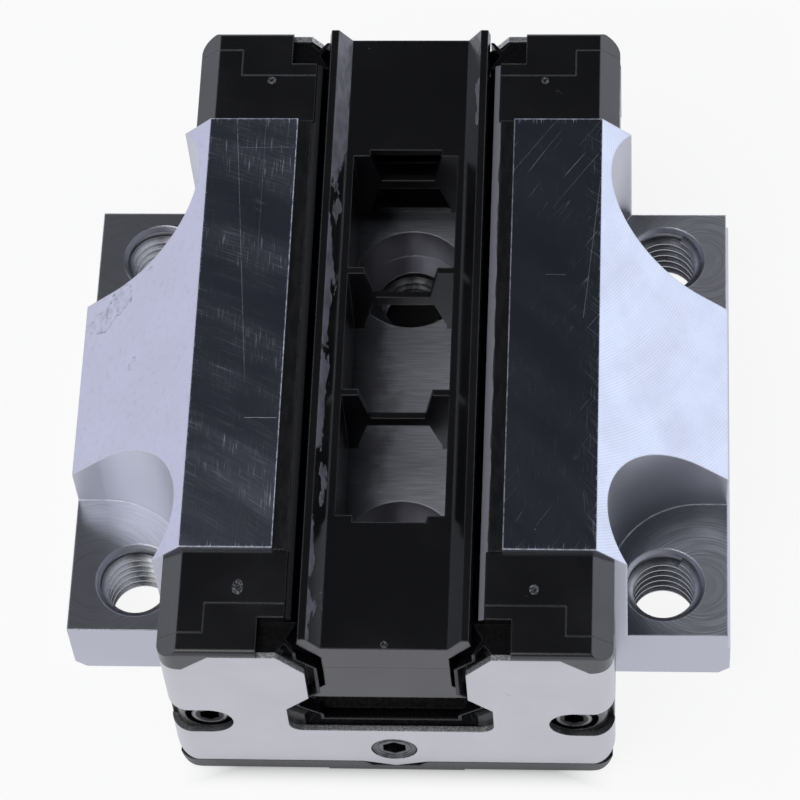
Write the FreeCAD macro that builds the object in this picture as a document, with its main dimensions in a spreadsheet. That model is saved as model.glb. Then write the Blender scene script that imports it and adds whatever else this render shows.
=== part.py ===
import FreeCAD, Part
import math
import os
import re
import Sketcher
from FreeCAD import Placement, Rotation, Vector

# Flanged ball runner block of size 30, shipped on a plastic arbor.
# Frame: origin at the centre of the mounting face, X across the rail, Y along it, Z towards the rail.
# Heights are measured from the mounting face.

SIZES = {
    # steel body
    "flange_width": 90.0,
    "body_length": 67.4,
    "leg_height": 35.35,
    "leg_width": 54.3,
    "shoulder_height": 18.0,
    "channel_width": 30.0,
    "floor_height": 12.0,
    "edge_chamfer": 1.5,
    "ground_band": 7.5,
    "ground_step": 0.4,
    # flange holes, set in from the side and the end, and the milled pockets round them
    "hole_side": 9.0,
    "hole_end": 7.7,
    "thread_size": 10.0,
    "thread_chamfer": 0.55,
    "flange_thickness": 11.0,
    "pocket_offset": 5.0,
    "pocket_radius": 12.5,
    # two counterbored holes in the channel floor
    "centre_spacing": 44.0,
    "counterbore": 16.0,
    "counterbore_floor": 5.8,
    # ball rows: two each side, above and below the height of the rail's nose
    "ball_diameter": 5.556,
    "ball_play": 0.044,
    "nose_height": 18.4,
    "track_half": 12.7,
    "track_rise": 4.2,
    "lane_offset": 2.8,
    "lane_play": 0.444,
    "turn_play": 0.2,
    "groove_play": 0.1,
    "groove_sink": 0.178,
    "strip_play": 0.3,
    # hardened track inserts and the plastic strips beside them
    "insert_back": 17.4,
    "insert_lip": 12.95,
    "insert_rise": 8.6,
    "seat_rise": 5.7,
    "guide_face": 13.5,
    "guide_root_rise": 2.1,
    "guide_tip_rise": 1.2,
    "floor_guide_inner": 11.0,
    "floor_play": 0.122,
    # long lip seals inside the legs
    "side_seal_sink": 0.55,
    "side_seal_edge": 13.2,
    "side_seal_step": 0.3,
    "side_seal_lip": 12.1,
    "side_seal_drop": 0.5,
    "side_seal_band": 1.722,
    "side_seal_slope": 1.8,
    "side_seal_inner": 10.7,
    "tongue_reach": 9.7,
    "tongue_width": 0.75,
    "tongue_height": 2.8,
    "tongue_sink": 0.5,
    "tongue_play": 0.05,
    # end caps and the seal carriers on them
    "cap_width": 59.0,
    "cap_sink": 0.75,
    "cap_bottom": 0.4,
    "cap_bevel": 2.8,
    "cap_bevel_height": 2.2,
    "cap_corner": 3.5,
    "core_wall": 0.2774,
    "cap_rim": 4.3,
    "cap_core_width": 46.8,
    "carrier_thickness": 2.2,
    "carrier_edge": 0.7,
    "carrier_round": 2.4,
    "foot_half": 9.2,
    "foot_drop": 0.3,
    # opening that follows the rail's section
    "flare_sink": 3.95,
    "flare_rise": 2.5,
    "nose_gap": 2.6,
    "rail_nose_flat": 0.8,
    "rail_nose_run": 3.2,
    "rail_head_height": 12.6,
    # double lip end seals
    "seal_gap": 0.95,
    "seal_width": 32.8,
    "seal_depth": 4.5,
    "seal_sink": 0.2,
    "seal_lip": 1.2,
    "seal_lip_thickness": 0.7,
    # bright end plates, bent back round the upright edges
    "plate_thickness": 0.85,
    "plate_proud": 0.1,
    "plate_play": 0.1,
    "plate_sink": 1.1,
    "plate_bottom": 2.7,
    "plate_ear_drop": 3.5,
    "plate_ear_edge": 3.2,
    "plate_ear_run": 3.7,
    "plate_tab": 1.5,
    "plate_tab_half": 4.4,
    "plate_corner": 3.0,
    "window_play": 0.1,
    "window_flare": 1.0,
    "window_rise": 3.4,
    "window_sink": 0.5,
    "window_corner": 1.8,
    # socket head screws
    "screw_edge": 5.3,
    "screw_height": 14.6,
    "screw_slot": 6.5,
    "screw_head": 4.8,
    "screw_head_set": 0.1,
    "screw_shank": 2.9,
    "screw_play": 0.3,
    "screw_reach": 8.0,
    "screw_drill": 10.0,
    "screw_hexagon": 2.5,
    "screw_socket": 1.6,
    # lubrication plugs
    "plug_height": 6.5,
    "plug_diameter": 6.0,
    "plug_length": 5.0,
    "plug_set": 0.2,
    "plug_play": 0.1,
    "plug_wall": 0.8,
    "plug_hexagon": 3.0,
    "plug_socket": 2.6,
    # transport arbor, which stands in for the rail
    "arbor_reach": 14.2,
    "arbor_shift": 0.9,
    "arbor_sink": 0.15,
    "arbor_lip_height": 1.3,
    "arbor_lip_taper": 0.3,
    "arbor_lip_width": 1.0,
    "arbor_flare_gap": 0.8,
    "arbor_flare_rise": 3.7,
    "arbor_waist_gap": 4.4,
    "arbor_waist_rise": 3.5,
    "arbor_head_gap": 1.8,
    "arbor_head_rise": 0.8,
    "arbor_head_drop": 0.1,
    "arbor_wall": 1.1,
    "arbor_end_wall": 1.2,
    "deck_sink": 2.5,
    "deck_inset": 0.1,
    "deck_thickness": 1.2,
    "rib_spacing": 19.2,
    "rib_thickness": 1.0,
    "notch_top_half": 5.0,
    "notch_foot_half": 3.7,
    "rib_web": 1.9,
    "arch_height": 6.3,
    "arch_side": 1.0,
    "arch_top_half": 4.2,
    "arch_foot_half": 5.7,
    "end_line_sink": 7.9,
    "end_face_step": 0.15,
}

# Sizes that follow from those above, so that fitted pieces keep together.
DERIVED = {
    "channel_half": "channel_width / 2",
    "body_end": "body_length / 2",
    "hole_x": "flange_width / 2 - hole_side",
    "hole_y": "body_end - hole_end",
    "ball_pitch": "ball_diameter + ball_play",
    "lane_width": "ball_diameter + lane_play",
    "return_half": "insert_back + lane_offset",
    "return_rise": "seat_rise + lane_offset",
    "turn_run": "return_half - track_half",
    "turn_rise": "return_rise - track_rise",
    "turn_width": "sqrt(turn_run ^ 2 + turn_rise ^ 2)",
    "insert_face": "track_half + ball_diameter / 2 + groove_play - groove_sink",
    "insert_top": "nose_height + insert_rise",
    "insert_bottom": "nose_height - insert_rise",
    "insert_corner": "insert_back - insert_rise + seat_rise",
    "seat_edge": "insert_top - (channel_half - insert_corner)",
    "floor_guide_top": "nose_height - track_rise - ball_diameter / 2 - floor_play",
    "side_seal_top": "leg_height - side_seal_sink",
    "side_seal_root": "nose_height + track_rise + ball_diameter / 2 + strip_play",
    "side_seal_foot": "side_seal_root + side_seal_band",
    "side_seal_throat": "side_seal_foot + side_seal_slope",
    "side_seal_length": "body_length + 2 * tongue_reach",
    "tongue_top": "side_seal_top - tongue_sink",
    "tongue_foot": "tongue_top - tongue_height",
    "cap_top": "leg_height - cap_sink",
    "cap_flat": "cap_width - 2 * cap_bevel",
    "cap_shoulder": "cap_top - cap_bevel_height",
    "core_face": "body_end + turn_width / 2 + lane_width / 2 + turn_play + core_wall",
    "cap_face": "core_face + cap_rim",
    "carrier_face": "cap_face + carrier_thickness",
    "plate_face": "carrier_face + plate_thickness",
    "arbor_length": "body_length + 2 * arbor_reach",
    "arbor_top": "leg_height - arbor_sink",
    "arbor_flare": "side_seal_lip - arbor_flare_gap",
    "arbor_flare_height": "arbor_top - arbor_lip_height",
    "arbor_lip_outer": "arbor_flare - arbor_lip_taper",
    "arbor_lip_inner": "arbor_lip_outer - arbor_lip_width",
    "arbor_waist": "track_half - arbor_waist_gap",
    "arbor_waist_top": "arbor_flare_height - arbor_flare_rise",
    "arbor_waist_foot": "nose_height + arbor_waist_rise",
    "arbor_head": "track_half - arbor_head_gap",
    "arbor_head_top": "nose_height + arbor_head_rise",
    "arbor_bottom": "nose_height - arbor_head_drop",
    "arbor_cavity_half": "arbor_waist - arbor_wall",
    "arbor_deck": "arbor_top - deck_sink",
    "arbor_deck_half": "arbor_waist - deck_inset",
    "arch_foot": "arbor_bottom + arch_side",
    "arch_top": "arbor_bottom + arch_height",
    "notch_foot": "arch_top + rib_web",
    "end_face_line": "arbor_top - end_line_sink",
    "rail_flare": "side_seal_lip + tongue_width + tongue_play",
    "rail_flare_height": "leg_height - flare_sink",
    "rail_waist": "arbor_waist + seal_gap + seal_lip",
    "rail_waist_height": "rail_flare_height - flare_rise",
    "rail_nose": "arbor_head + nose_gap",
    "plate_width": "cap_width + 2 * plate_proud",
    "plate_top": "cap_top - plate_sink",
    "plate_bend": "carrier_thickness - plate_play",
    "plate_ear": "plate_top - plate_ear_drop",
    "plate_ear_outer": "plate_width / 2 - plate_ear_edge",
    "plate_ear_inner": "plate_ear_outer - plate_ear_run",
    "window_top_half": "rail_flare + window_flare",
    "window_waist_half": "rail_waist",
    "window_waist_top": "rail_waist_height + window_play",
    "window_waist_foot": "nose_height + window_rise",
    "window_head_half": "rail_nose + window_play",
    "window_head_top": "nose_height",
    "window_foot": "rail_head_height - window_sink",
    "seal_top": "plate_top - seal_sink",
    "seal_bottom": "plug_height + plug_diameter / 2 + plug_wall",
    "screw_half": "cap_width / 2 - screw_edge",
    "screw_hole": "screw_shank + screw_play",
    "port_width": "plug_diameter + 2 * plug_play",
}

doc = FreeCAD.newDocument("LinearGuideBlock")
sheet = doc.addObject("Spreadsheet::Sheet", "Sizes")
cells = {alias: str(value) for alias, value in SIZES.items()}
cells.update({alias: f"={text}" for alias, text in DERIVED.items()})
for row, (alias, content) in enumerate(cells.items(), start=1):
    sheet.set(f"A{row}", alias)
    sheet.set(f"B{row}", content)
    sheet.setAlias(f"B{row}", alias)
doc.recompute()

HALF_TURN = Placement(Vector(0, 0, 0), Rotation(Vector(0, 0, 1), 180))
FRONT_AND_REAR = {"front": Placement(), "rear": HALF_TURN}
RIGHT_AND_LEFT = {"right": Placement(), "left": HALF_TURN}
SIDES = (1, -1)
nodes = []


# Sums of sizes, written as text

def bound(text):
    """A sum with each size in it looked up in the sheet."""
    def look_up(word):
        name = word.group()
        return f"Sizes.{name}" if name in cells else name
    return re.sub(r"[a-z_]+", look_up, text)


def worth(text):
    """What a sum of sizes comes to."""
    result = sheet.evalExpression(bound(text))
    return float(getattr(result, "Value", result))


def times(sign, text):
    """A sum on the right for +1, on the left for -1."""
    return f"({text})" if sign > 0 else f"-({text})"


def both_sides(half):
    """A closed outline from the corners of its right half, listed from the bottom up."""
    left = [(f"-({corner[0]})", *corner[1:]) for corner in reversed(half)]
    return half + left


# Sketches

def new_sketch(body, name, plane, offset):
    sketch = body.newObject("Sketcher::SketchObject", name)
    support = [item for item in body.Origin.OriginFeatures if item.Role == plane]
    sketch.AttachmentSupport = [(support[0], "")]
    sketch.MapMode = "FlatFace"
    sketch.setExpression("AttachmentOffset.Base.z", bound(offset))
    return sketch


def tie(sketch, constraint, text):
    index = sketch.addConstraint(constraint)
    sketch.setExpression(f"Constraints[{index}]", bound(text))


def tie_point(sketch, geometry, point, x, y):
    for kind, text in (("DistanceX", x), ("DistanceY", y)):
        tie(sketch, Sketcher.Constraint(kind, -1, 1, geometry, point, worth(text)), text)


def arc_between(start, end, radius, turn):
    """The shorter arc from start to end, bulging to its right for +1 and to its left for -1."""
    chord = end - start
    across = Vector(chord.y, -chord.x, 0).normalize() * turn
    rise = math.sqrt(radius ** 2 - (chord.Length / 2) ** 2)
    centre = (start + end) / 2 - across * rise
    return Part.Arc(start, centre + across * radius, end)


def outline(body, name, plane, loops, offset="0"):
    """Closed loops of corners. A corner may add a radius and a turn for the arc that leaves it."""
    sketch = new_sketch(body, name, plane, offset)
    for corners in loops:
        first = sketch.GeometryCount
        points = [Vector(worth(corner[0]), worth(corner[1]), 0) for corner in corners]
        starts = []
        ends = []
        for index, corner in enumerate(corners):
            start = points[index]
            end = points[(index + 1) % len(points)]
            if len(corner) == 2:
                edge = Part.LineSegment(start, end)
            else:
                edge = arc_between(start, end, worth(corner[2]), corner[3])
            number = sketch.addGeometry(edge, False)
            forward = sketch.getPoint(number, 1).distanceToPoint(start) < 0.001
            starts.append(1 if forward else 2)
            ends.append(2 if forward else 1)
        for index, corner in enumerate(corners):
            after = (index + 1) % len(corners)
            here, there = first + index, first + after
            sketch.addConstraint(Sketcher.Constraint("Coincident", here, ends[index], there, starts[after]))
        for index, corner in enumerate(corners):
            tie_point(sketch, first + index, starts[index], corner[0], corner[1])
            if len(corner) > 2:
                tie(sketch, Sketcher.Constraint("Radius", first + index, worth(corner[2])), corner[2])
    return sketch


def circles(body, name, plane, centres, diameter, offset="0"):
    sketch = new_sketch(body, name, plane, offset)
    for index, (x, y) in enumerate(centres):
        middle = Vector(worth(x), worth(y), 0)
        sketch.addGeometry(Part.Circle(middle, Vector(0, 0, 1), worth(diameter) / 2), False)
        tie_point(sketch, index, 3, x, y)
        tie(sketch, Sketcher.Constraint("Diameter", index, worth(diameter)), diameter)
    return sketch


def flat_sided(body, name, plane, centres, across_flats, sides, offset="0"):
    """Regular polygons, each with a flat upright on its right."""
    loops = []
    for x, y in centres:
        loop = []
        for index in range(sides):
            angle = (2 * index - 1) * math.pi / sides
            reach_x = round(math.cos(angle) / math.cos(math.pi / sides) / 2, 6)
            reach_y = round(math.sin(angle) / math.cos(math.pi / sides) / 2, 6)
            loop.append((f"{x} + {reach_x} * ({across_flats})", f"{y} + {reach_y} * ({across_flats})"))
        loops.append(loop)
    return outline(body, name, plane, loops, offset)


# Features

def new_body(name, placement=Placement()):
    body = doc.addObject("PartDesign::Body", name)
    body.Label = name
    body.Placement = placement
    nodes.append(body)
    return body


def pad(body, sketch, length, symmetric=False):
    feature = body.newObject("PartDesign::Pad", f"Pad_{sketch.Name}")
    feature.Profile = sketch
    feature.SideType = "Symmetric" if symmetric else "One side"
    feature.setExpression("Length", bound(length))
    body.Tip = feature
    doc.recompute()
    return feature


def check_cut(body, feature, before):
    doc.recompute()
    if not feature.Shape.Volume < before - 1e-6:
        raise RuntimeError(f"{feature.Name} of {body.Label} cuts nothing")


def cut(body, sketch, length=None, reverse=False):
    """Cut against the sketch's normal for a length, or both ways through everything."""
    before = body.Tip.Shape.Volume
    feature = body.newObject("PartDesign::Pocket", f"Cut_{sketch.Name}")
    feature.Profile = sketch
    if length is None:
        feature.Type = "ThroughAll"
        feature.SideType = "Symmetric"
    else:
        feature.setExpression("Length", bound(length))
        feature.Reversed = reverse
    body.Tip = feature
    check_cut(body, feature, before)
    return feature


def half_round(body, sketch, kind):
    """Turn a sketch half way round its first edge, outwards, as an added or a cut-out half cylinder."""
    before = body.Tip.Shape.Volume if body.Tip else 0
    feature = body.newObject(f"PartDesign::{kind}", f"{kind}_{sketch.Name}")
    feature.Profile = sketch
    feature.ReferenceAxis = (sketch, ["Edge1"])
    feature.Angle = 180
    feature.Reversed = True
    body.Tip = feature
    if kind == "Groove":
        check_cut(body, feature, before)
    else:
        doc.recompute()
    return feature


def dress(body, kind, size, text, chosen):
    """Fillet or chamfer the edges of the tip that a test on their middle and direction picks."""
    base = body.Tip
    names = []
    for number, edge in enumerate(base.Shape.Edges, start=1):
        middle = edge.valueAt((edge.FirstParameter + edge.LastParameter) / 2)
        if chosen(edge, middle):
            names.append(f"Edge{number}")
    feature = body.newObject(f"PartDesign::{kind}", f"{kind}_{body.Name}")
    feature.Base = (base, names)
    feature.setExpression(size, bound(text))
    body.Tip = feature
    doc.recompute()
    return feature


def near(first, second):
    return abs(first - second) < 0.001


def runs_along(edge, axis):
    if not isinstance(edge.Curve, Part.Line):
        return False
    return near(abs(edge.Curve.Direction.dot(axis)), 1)


# Places that several pieces share

SCREW_PLACES = [(times(side, "screw_half"), "screw_height") for side in SIDES]
PLUG_PLACES = [("0", "plug_height")]
# Rows are upper and lower as the block is used, with its mounting face up.
ROWS = {"upper": -1, "lower": 1}
# Hidden bores and shanks have flat sides, so that they stay light.
FLAT_SIDES = 8


def rail_opening(inset, top):
    """The right half of an opening round the rail, drawn in by an inset."""
    waist = f"rail_waist - {inset}"
    nose = f"rail_nose - {inset}"
    return [
        (waist, f"rail_head_height + {inset}"),
        (waist, "nose_height - rail_nose_run"),
        (nose, "nose_height - rail_nose_flat"),
        (nose, "nose_height + rail_nose_flat"),
        (waist, "nose_height + rail_nose_run"),
        (waist, "rail_waist_height"),
        (f"rail_flare - {inset}", "rail_flare_height"),
        (f"rail_flare - {inset}", top),
    ]


# Steel body

def make_runner_body():
    body = new_body("runner_body")
    half = "flange_width / 2"
    leg = [
        ("leg_width / 2", "leg_height"),
        ("channel_half", "leg_height"),
        ("channel_half", "seat_edge"),
        ("insert_back", "nose_height + seat_rise"),
        ("insert_back", "nose_height - seat_rise"),
        ("insert_corner", "insert_bottom"),
        ("floor_guide_inner", "insert_bottom"),
        ("floor_guide_inner", "floor_height"),
    ]
    ground_side = [
        (f"{half} - edge_chamfer", "0"),
        (half, "edge_chamfer"),
        (half, "ground_band"),
        (f"{half} - ground_step", "ground_band + ground_step"),
        (f"{half} - ground_step", "shoulder_height"),
    ]
    plain_side = [
        (f"-({half})", "shoulder_height"),
        (f"-({half})", "edge_chamfer"),
        (f"-({half} - edge_chamfer)", "0"),
    ]
    left_leg = [(f"-({x})", z) for x, z in reversed(leg)]
    profile = ground_side + leg + left_leg + plain_side
    pad(body, outline(body, "Section", "XZ_Plane", [profile]), "body_length", symmetric=True)
    mill_corner_pockets(body)
    drill_flange_holes(body)
    drill_centre_holes(body)
    returns = [(times(side, "return_half"), f"nose_height + {rise} * return_rise")
               for side in SIDES for rise in SIDES]
    cut(body, flat_sided(body, "ReturnLanes", "XZ_Plane", returns, "lane_width", FLAT_SIDES))
    for end in SIDES:
        name = "FrontTaps" if end > 0 else "RearTaps"
        face = times(end, "body_end")
        taps = flat_sided(body, name, "XZ_Plane", SCREW_PLACES, "screw_hole", FLAT_SIDES, face)
        cut(body, taps, "screw_drill", reverse=end < 0)


def mill_corner_pockets(body):
    """Round-nosed pockets that run out through the side and the end of the flange."""
    past_end = "body_end + edge_chamfer"
    past_side = "flange_width / 2 + edge_chamfer"
    nose_x = "hole_x + pocket_offset"
    wall_y = "hole_y - pocket_radius"
    end_x = f"{nose_x} - sqrt(pocket_radius ^ 2 - ({past_end} - hole_y) ^ 2)"
    loops = []
    for side in SIDES:
        for end in SIDES:
            loops.append([
                (times(side, past_side), times(end, wall_y)),
                (times(side, nose_x), times(end, wall_y), "pocket_radius", -side * end),
                (times(side, end_x), times(end, past_end)),
                (times(side, past_side), times(end, past_end)),
            ])
    sketch = outline(body, "Pockets", "XY_Plane", loops, "flange_thickness")
    cut(body, sketch, "leg_height", reverse=True)


def drill_flange_holes(body):
    places = [(times(side, "hole_x"), times(end, "hole_y"))
              for side in SIDES for end in SIDES]
    cut(body, circles(body, "FlangeHoles", "XY_Plane", places, "thread_size"))
    radius = worth("thread_size / 2")
    flat = worth("flange_thickness")

    def rim(edge, middle):
        ring = isinstance(edge.Curve, Part.Circle) and near(edge.Curve.Radius, radius)
        return ring and (near(middle.z, 0) or near(middle.z, flat))

    dress(body, "Chamfer", "Size", "thread_chamfer", rim)


def drill_centre_holes(body):
    places = [("0", times(end, "centre_spacing / 2")) for end in SIDES]
    cut(body, circles(body, "CentreHoles", "XY_Plane", places, "thread_size"))
    bores = circles(body, "Counterbores", "XY_Plane", places, "counterbore", "counterbore_floor")
    cut(body, bores, "leg_height", reverse=True)


# Strips along the channel

def make_track_insert(name, placement):
    """A hardened strip with one round groove for each of the two ball rows."""
    body = new_body(name, placement)
    groove = "ball_diameter / 2 + groove_play"
    lip_reach = f"sqrt(({groove}) ^ 2 - (insert_lip - track_half) ^ 2)"
    face_reach = f"sqrt(({groove}) ^ 2 - (insert_face - track_half) ^ 2)"
    profile = [
        ("insert_lip", "insert_bottom"),
        ("insert_corner", "insert_bottom"),
        ("insert_back", "nose_height - seat_rise"),
        ("insert_back", "nose_height + seat_rise"),
        ("insert_corner", "insert_top"),
        ("insert_lip", "insert_top"),
        ("insert_lip", f"nose_height + track_rise + {lip_reach}", groove, -1),
        ("insert_face", f"nose_height + track_rise - {face_reach}"),
        ("insert_face", f"nose_height - track_rise + {face_reach}", groove, -1),
        ("insert_lip", f"nose_height - track_rise - {lip_reach}"),
    ]
    pad(body, outline(body, f"Section_{name}", "XZ_Plane", [profile]), "body_length", symmetric=True)


def make_ball_guide(name, placement):
    """The wedge between the two rows of one side."""
    body = new_body(name, placement)
    profile = [
        ("guide_face", "nose_height - guide_tip_rise"),
        ("insert_face", "nose_height - guide_root_rise"),
        ("insert_face", "nose_height + guide_root_rise"),
        ("guide_face", "nose_height + guide_tip_rise"),
    ]
    pad(body, outline(body, f"Section_{name}", "XZ_Plane", [profile]), "body_length", symmetric=True)


def make_floor_guide(name, placement):
    """The bar beside the row next to the channel floor."""
    body = new_body(name, placement)
    profile = [
        ("floor_guide_inner", "insert_bottom"),
        ("insert_lip", "insert_bottom"),
        ("insert_lip", "floor_guide_top"),
        ("floor_guide_inner", "floor_guide_top"),
    ]
    pad(body, outline(body, f"Section_{name}", "XZ_Plane", [profile]), "body_length", symmetric=True)


def make_side_seal(name, placement):
    """A lip strip inside a leg, with a thin tongue that runs on into both end caps."""
    body = new_body(name, placement)
    lip_top = "side_seal_top - side_seal_step - side_seal_drop"
    profile = [
        ("side_seal_inner", "side_seal_root"),
        ("insert_lip", "side_seal_root"),
        ("insert_lip", "insert_top"),
        ("channel_half", "insert_top"),
        ("channel_half", "side_seal_top"),
        ("side_seal_edge", "side_seal_top"),
        ("side_seal_edge", "side_seal_top - side_seal_step"),
        ("side_seal_lip", lip_top),
        ("side_seal_lip", "side_seal_throat"),
        ("side_seal_inner", "side_seal_foot"),
    ]
    pad(body, outline(body, f"Section_{name}", "XZ_Plane", [profile]), "body_length", symmetric=True)
    tongue = [
        ("side_seal_lip", "tongue_foot"),
        ("side_seal_lip + tongue_width", "tongue_foot"),
        ("side_seal_lip + tongue_width", "tongue_top"),
        ("side_seal_lip", lip_top),
    ]
    pad(body, outline(body, f"Tongue_{name}", "XZ_Plane", [tongue]), "side_seal_length", symmetric=True)


# Balls: flat-faced, so that the many copies stay light

def make_ball():
    """A cube cut off at its corners, fourteen faces inside the round ball, with corners along Y."""
    reach = worth("ball_diameter") / 2 / math.sqrt(2)
    loops = []
    for side in SIDES:
        ring = ((1, 0), (0, 1), (-1, 0), (0, -1))
        loops.append([(side, first, second) for first, second in ring])
        loops.append([(first, side, second) for first, second in ring])
        loops.append([(first, second, side) for first, second in ring])
        for wide in SIDES:
            for high in SIDES:
                loops.append([(side, wide, 0), (0, wide, high), (side, 0, high)])
    faces = []
    for loop in loops:
        points = [Vector(*corner) * reach for corner in loop]
        faces.append(Part.Face(Part.makePolygon(points + points[:1])))
    ball = Part.Solid(Part.Shell(faces))
    if ball.Volume < 0:
        ball.reverse()
    ball.rotate(Vector(0, 0, 0), Vector(1, 0, 0), 45)
    return ball


def ball_places(side, rise):
    """Centres along one loop: the track, the return lane and two balls in each turn."""
    end = worth("body_end")
    pitch = worth("ball_pitch")
    track = Vector(side * worth("track_half"), 0, worth("nose_height") + rise * worth("track_rise"))
    lane = Vector(side * worth("return_half"), 0, worth("nose_height") + rise * worth("return_rise"))
    middle = (track + lane) / 2
    radius = (lane - track).Length / 2
    outward = (lane - track).normalize()
    half_step = math.asin(pitch / 2 / radius)
    turn_reach = radius * math.cos(half_step)
    aside = radius * (1 - math.sin(half_step))
    room = math.sqrt(pitch ** 2 - aside ** 2) - turn_reach
    count = int((2 * end - 2 * room) / pitch) + 1
    places = []
    for line in (track, lane):
        for index in range(count):
            places.append(line + Vector(0, (index - (count - 1) / 2) * pitch, 0))
    for way in SIDES:
        for half in SIDES:
            across = outward * half * radius * math.sin(half_step)
            places.append(middle + across + Vector(0, way * (end + turn_reach), 0))
    return places


def make_ball_circuit(name, side, rise, ball):
    circuit = doc.addObject("Part::Feature", name)
    circuit.Label = name
    circuit.Shape = Part.makeCompound([ball.translated(place) for place in ball_places(side, rise)])
    nodes.append(circuit)


# End caps

def turn_section(body, name, side, rise, radius):
    """Half the section of a ball turn: a strip from its axis out to a radius, as wide as the lane."""
    middle_x = f"{side} * (track_half + return_half) / 2"
    middle_z = f"nose_height + {rise} * (track_rise + return_rise) / 2"
    out_x = f"{side} * turn_run / turn_width"
    out_z = f"{rise} * turn_rise / turn_width"
    loop = []
    for along, out in ((-1, 0), (1, 0), (1, 1), (-1, 1)):
        x = f"{middle_x} - {along} * lane_width / 2 * {out_z} + {out} * ({radius}) * {out_x}"
        z = f"{middle_z} + {along} * lane_width / 2 * {out_x} + {out} * ({radius}) * {out_z}"
        loop.append((x, z))
    return outline(body, name, "XZ_Plane", [loop], "body_end")


def cap_outline():
    return both_sides([
        ("cap_width / 2", "cap_bottom"),
        ("cap_width / 2", "cap_shoulder"),
        ("cap_flat / 2", "cap_top"),
    ])


def drill_screw_holes(body, name):
    holes = flat_sided(body, f"Holes_{name}", "XZ_Plane", SCREW_PLACES, "screw_hole", FLAT_SIDES)
    cut(body, holes)


def round_lower_corners(body):
    bottom = worth("cap_bottom")
    side = worth("cap_width / 2")

    def lower_corner(edge, middle):
        return runs_along(edge, Vector(0, 1, 0)) and near(middle.z, bottom) and near(abs(middle.x), side)

    dress(body, "Fillet", "Radius", "cap_corner", lower_corner)


def make_end_cap(name, placement):
    body = new_body(name, placement)
    section = outline(body, f"Section_{name}", "XZ_Plane", [cap_outline()], "body_end")
    pad(body, section, "cap_face - body_end")
    round_lower_corners(body)
    core_half = "cap_core_width / 2"
    core = both_sides([(core_half, "-cap_bottom"), (core_half, "leg_height")])
    cut(body, outline(body, f"Core_{name}", "XZ_Plane", [core], "cap_face"), "cap_rim")
    opening = both_sides(rail_opening("0", "leg_height"))
    cut(body, outline(body, f"Opening_{name}", "XZ_Plane", [opening]))
    drill_screw_holes(body, name)
    for side in SIDES:
        for rise in SIDES:
            label = f"Turn_{name}_{'right' if side > 0 else 'left'}_{'low' if rise > 0 else 'high'}"
            reach = "turn_width / 2 + lane_width / 2 + turn_play"
            half_round(body, turn_section(body, label, side, rise, reach), "Groove")


def make_turn_guides(name, placement):
    """Half-round cores, one in each ball turn."""
    body = new_body(name, placement)
    for side in SIDES:
        for rise in SIDES:
            label = f"Core_{name}_{'right' if side > 0 else 'left'}_{'low' if rise > 0 else 'high'}"
            reach = "turn_width / 2 - lane_width / 2 - turn_play"
            half_round(body, turn_section(body, label, side, rise, reach), "Revolution")


def make_seal_carrier(name, placement):
    """The cover that closes the cap, carries the end seal and backs the plate."""
    body = new_body(name, placement)
    section = outline(body, f"Section_{name}", "XZ_Plane", [cap_outline()], "cap_face")
    pad(body, section, "plate_face - cap_face")
    round_lower_corners(body)
    round_carrier_edges(body, name)
    foot = both_sides([("foot_half", "cap_bottom - foot_drop"), ("foot_half", "plate_tab - plate_play")])
    pad(body, outline(body, f"Foot_{name}", "XZ_Plane", [foot], "cap_face"), "plate_face - cap_face")
    core = both_sides([("cap_core_width / 2", "cap_bottom"), ("cap_core_width / 2", "cap_top")])
    pad(body, outline(body, f"Core_{name}", "XZ_Plane", [core], "core_face"), "cap_rim")
    opening = both_sides(rail_opening("0", "leg_height"))
    cut(body, outline(body, f"Opening_{name}", "XZ_Plane", [opening]))
    seat = both_sides([("seal_width / 2", "seal_bottom"), ("seal_width / 2", "leg_height")])
    seat = outline(body, f"Seat_{name}", "XZ_Plane", [seat], "plate_face")
    cut(body, seat, "plate_thickness + seal_depth")
    cut_plate_rebate(body, name)
    drill_screw_holes(body, name)
    wells = circles(body, f"Wells_{name}", "XZ_Plane", SCREW_PLACES, "screw_slot", "plate_face")
    cut(body, wells, "plate_face - cap_face")
    face = "carrier_face"
    port = flat_sided(body, f"Port_{name}", "XZ_Plane", PLUG_PLACES, "port_width", FLAT_SIDES, face)
    cut(body, port, "plug_length")


def corner_trims(half, face, radius):
    """What lies outside two rounded front corners, seen from above."""
    outside = "plate_width / 2 + plate_thickness"
    ahead = "-(plate_face + plate_thickness)"
    loops = []
    for side in SIDES:
        loops.append([
            (times(side, f"{half} - {radius}"), f"-({face})", radius, side),
            (times(side, half), f"-({face} - {radius})"),
            (times(side, outside), f"-({face} - {radius})"),
            (times(side, outside), ahead),
            (times(side, f"{half} - {radius}"), ahead),
        ])
    return loops


def round_carrier_edges(body, name):
    """Round the top edge and the upright corners of the rim that frames the plate."""
    face = worth("plate_face")
    top = worth("cap_top")

    def front_edge(edge, middle):
        return near(-middle.y, face) and near(middle.z, top)

    dress(body, "Fillet", "Radius", "carrier_edge", front_edge)
    loops = corner_trims("cap_width / 2", "plate_face", "carrier_round")
    cut(body, outline(body, f"Corners_{name}", "XY_Plane", loops), "leg_height", reverse=True)


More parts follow.
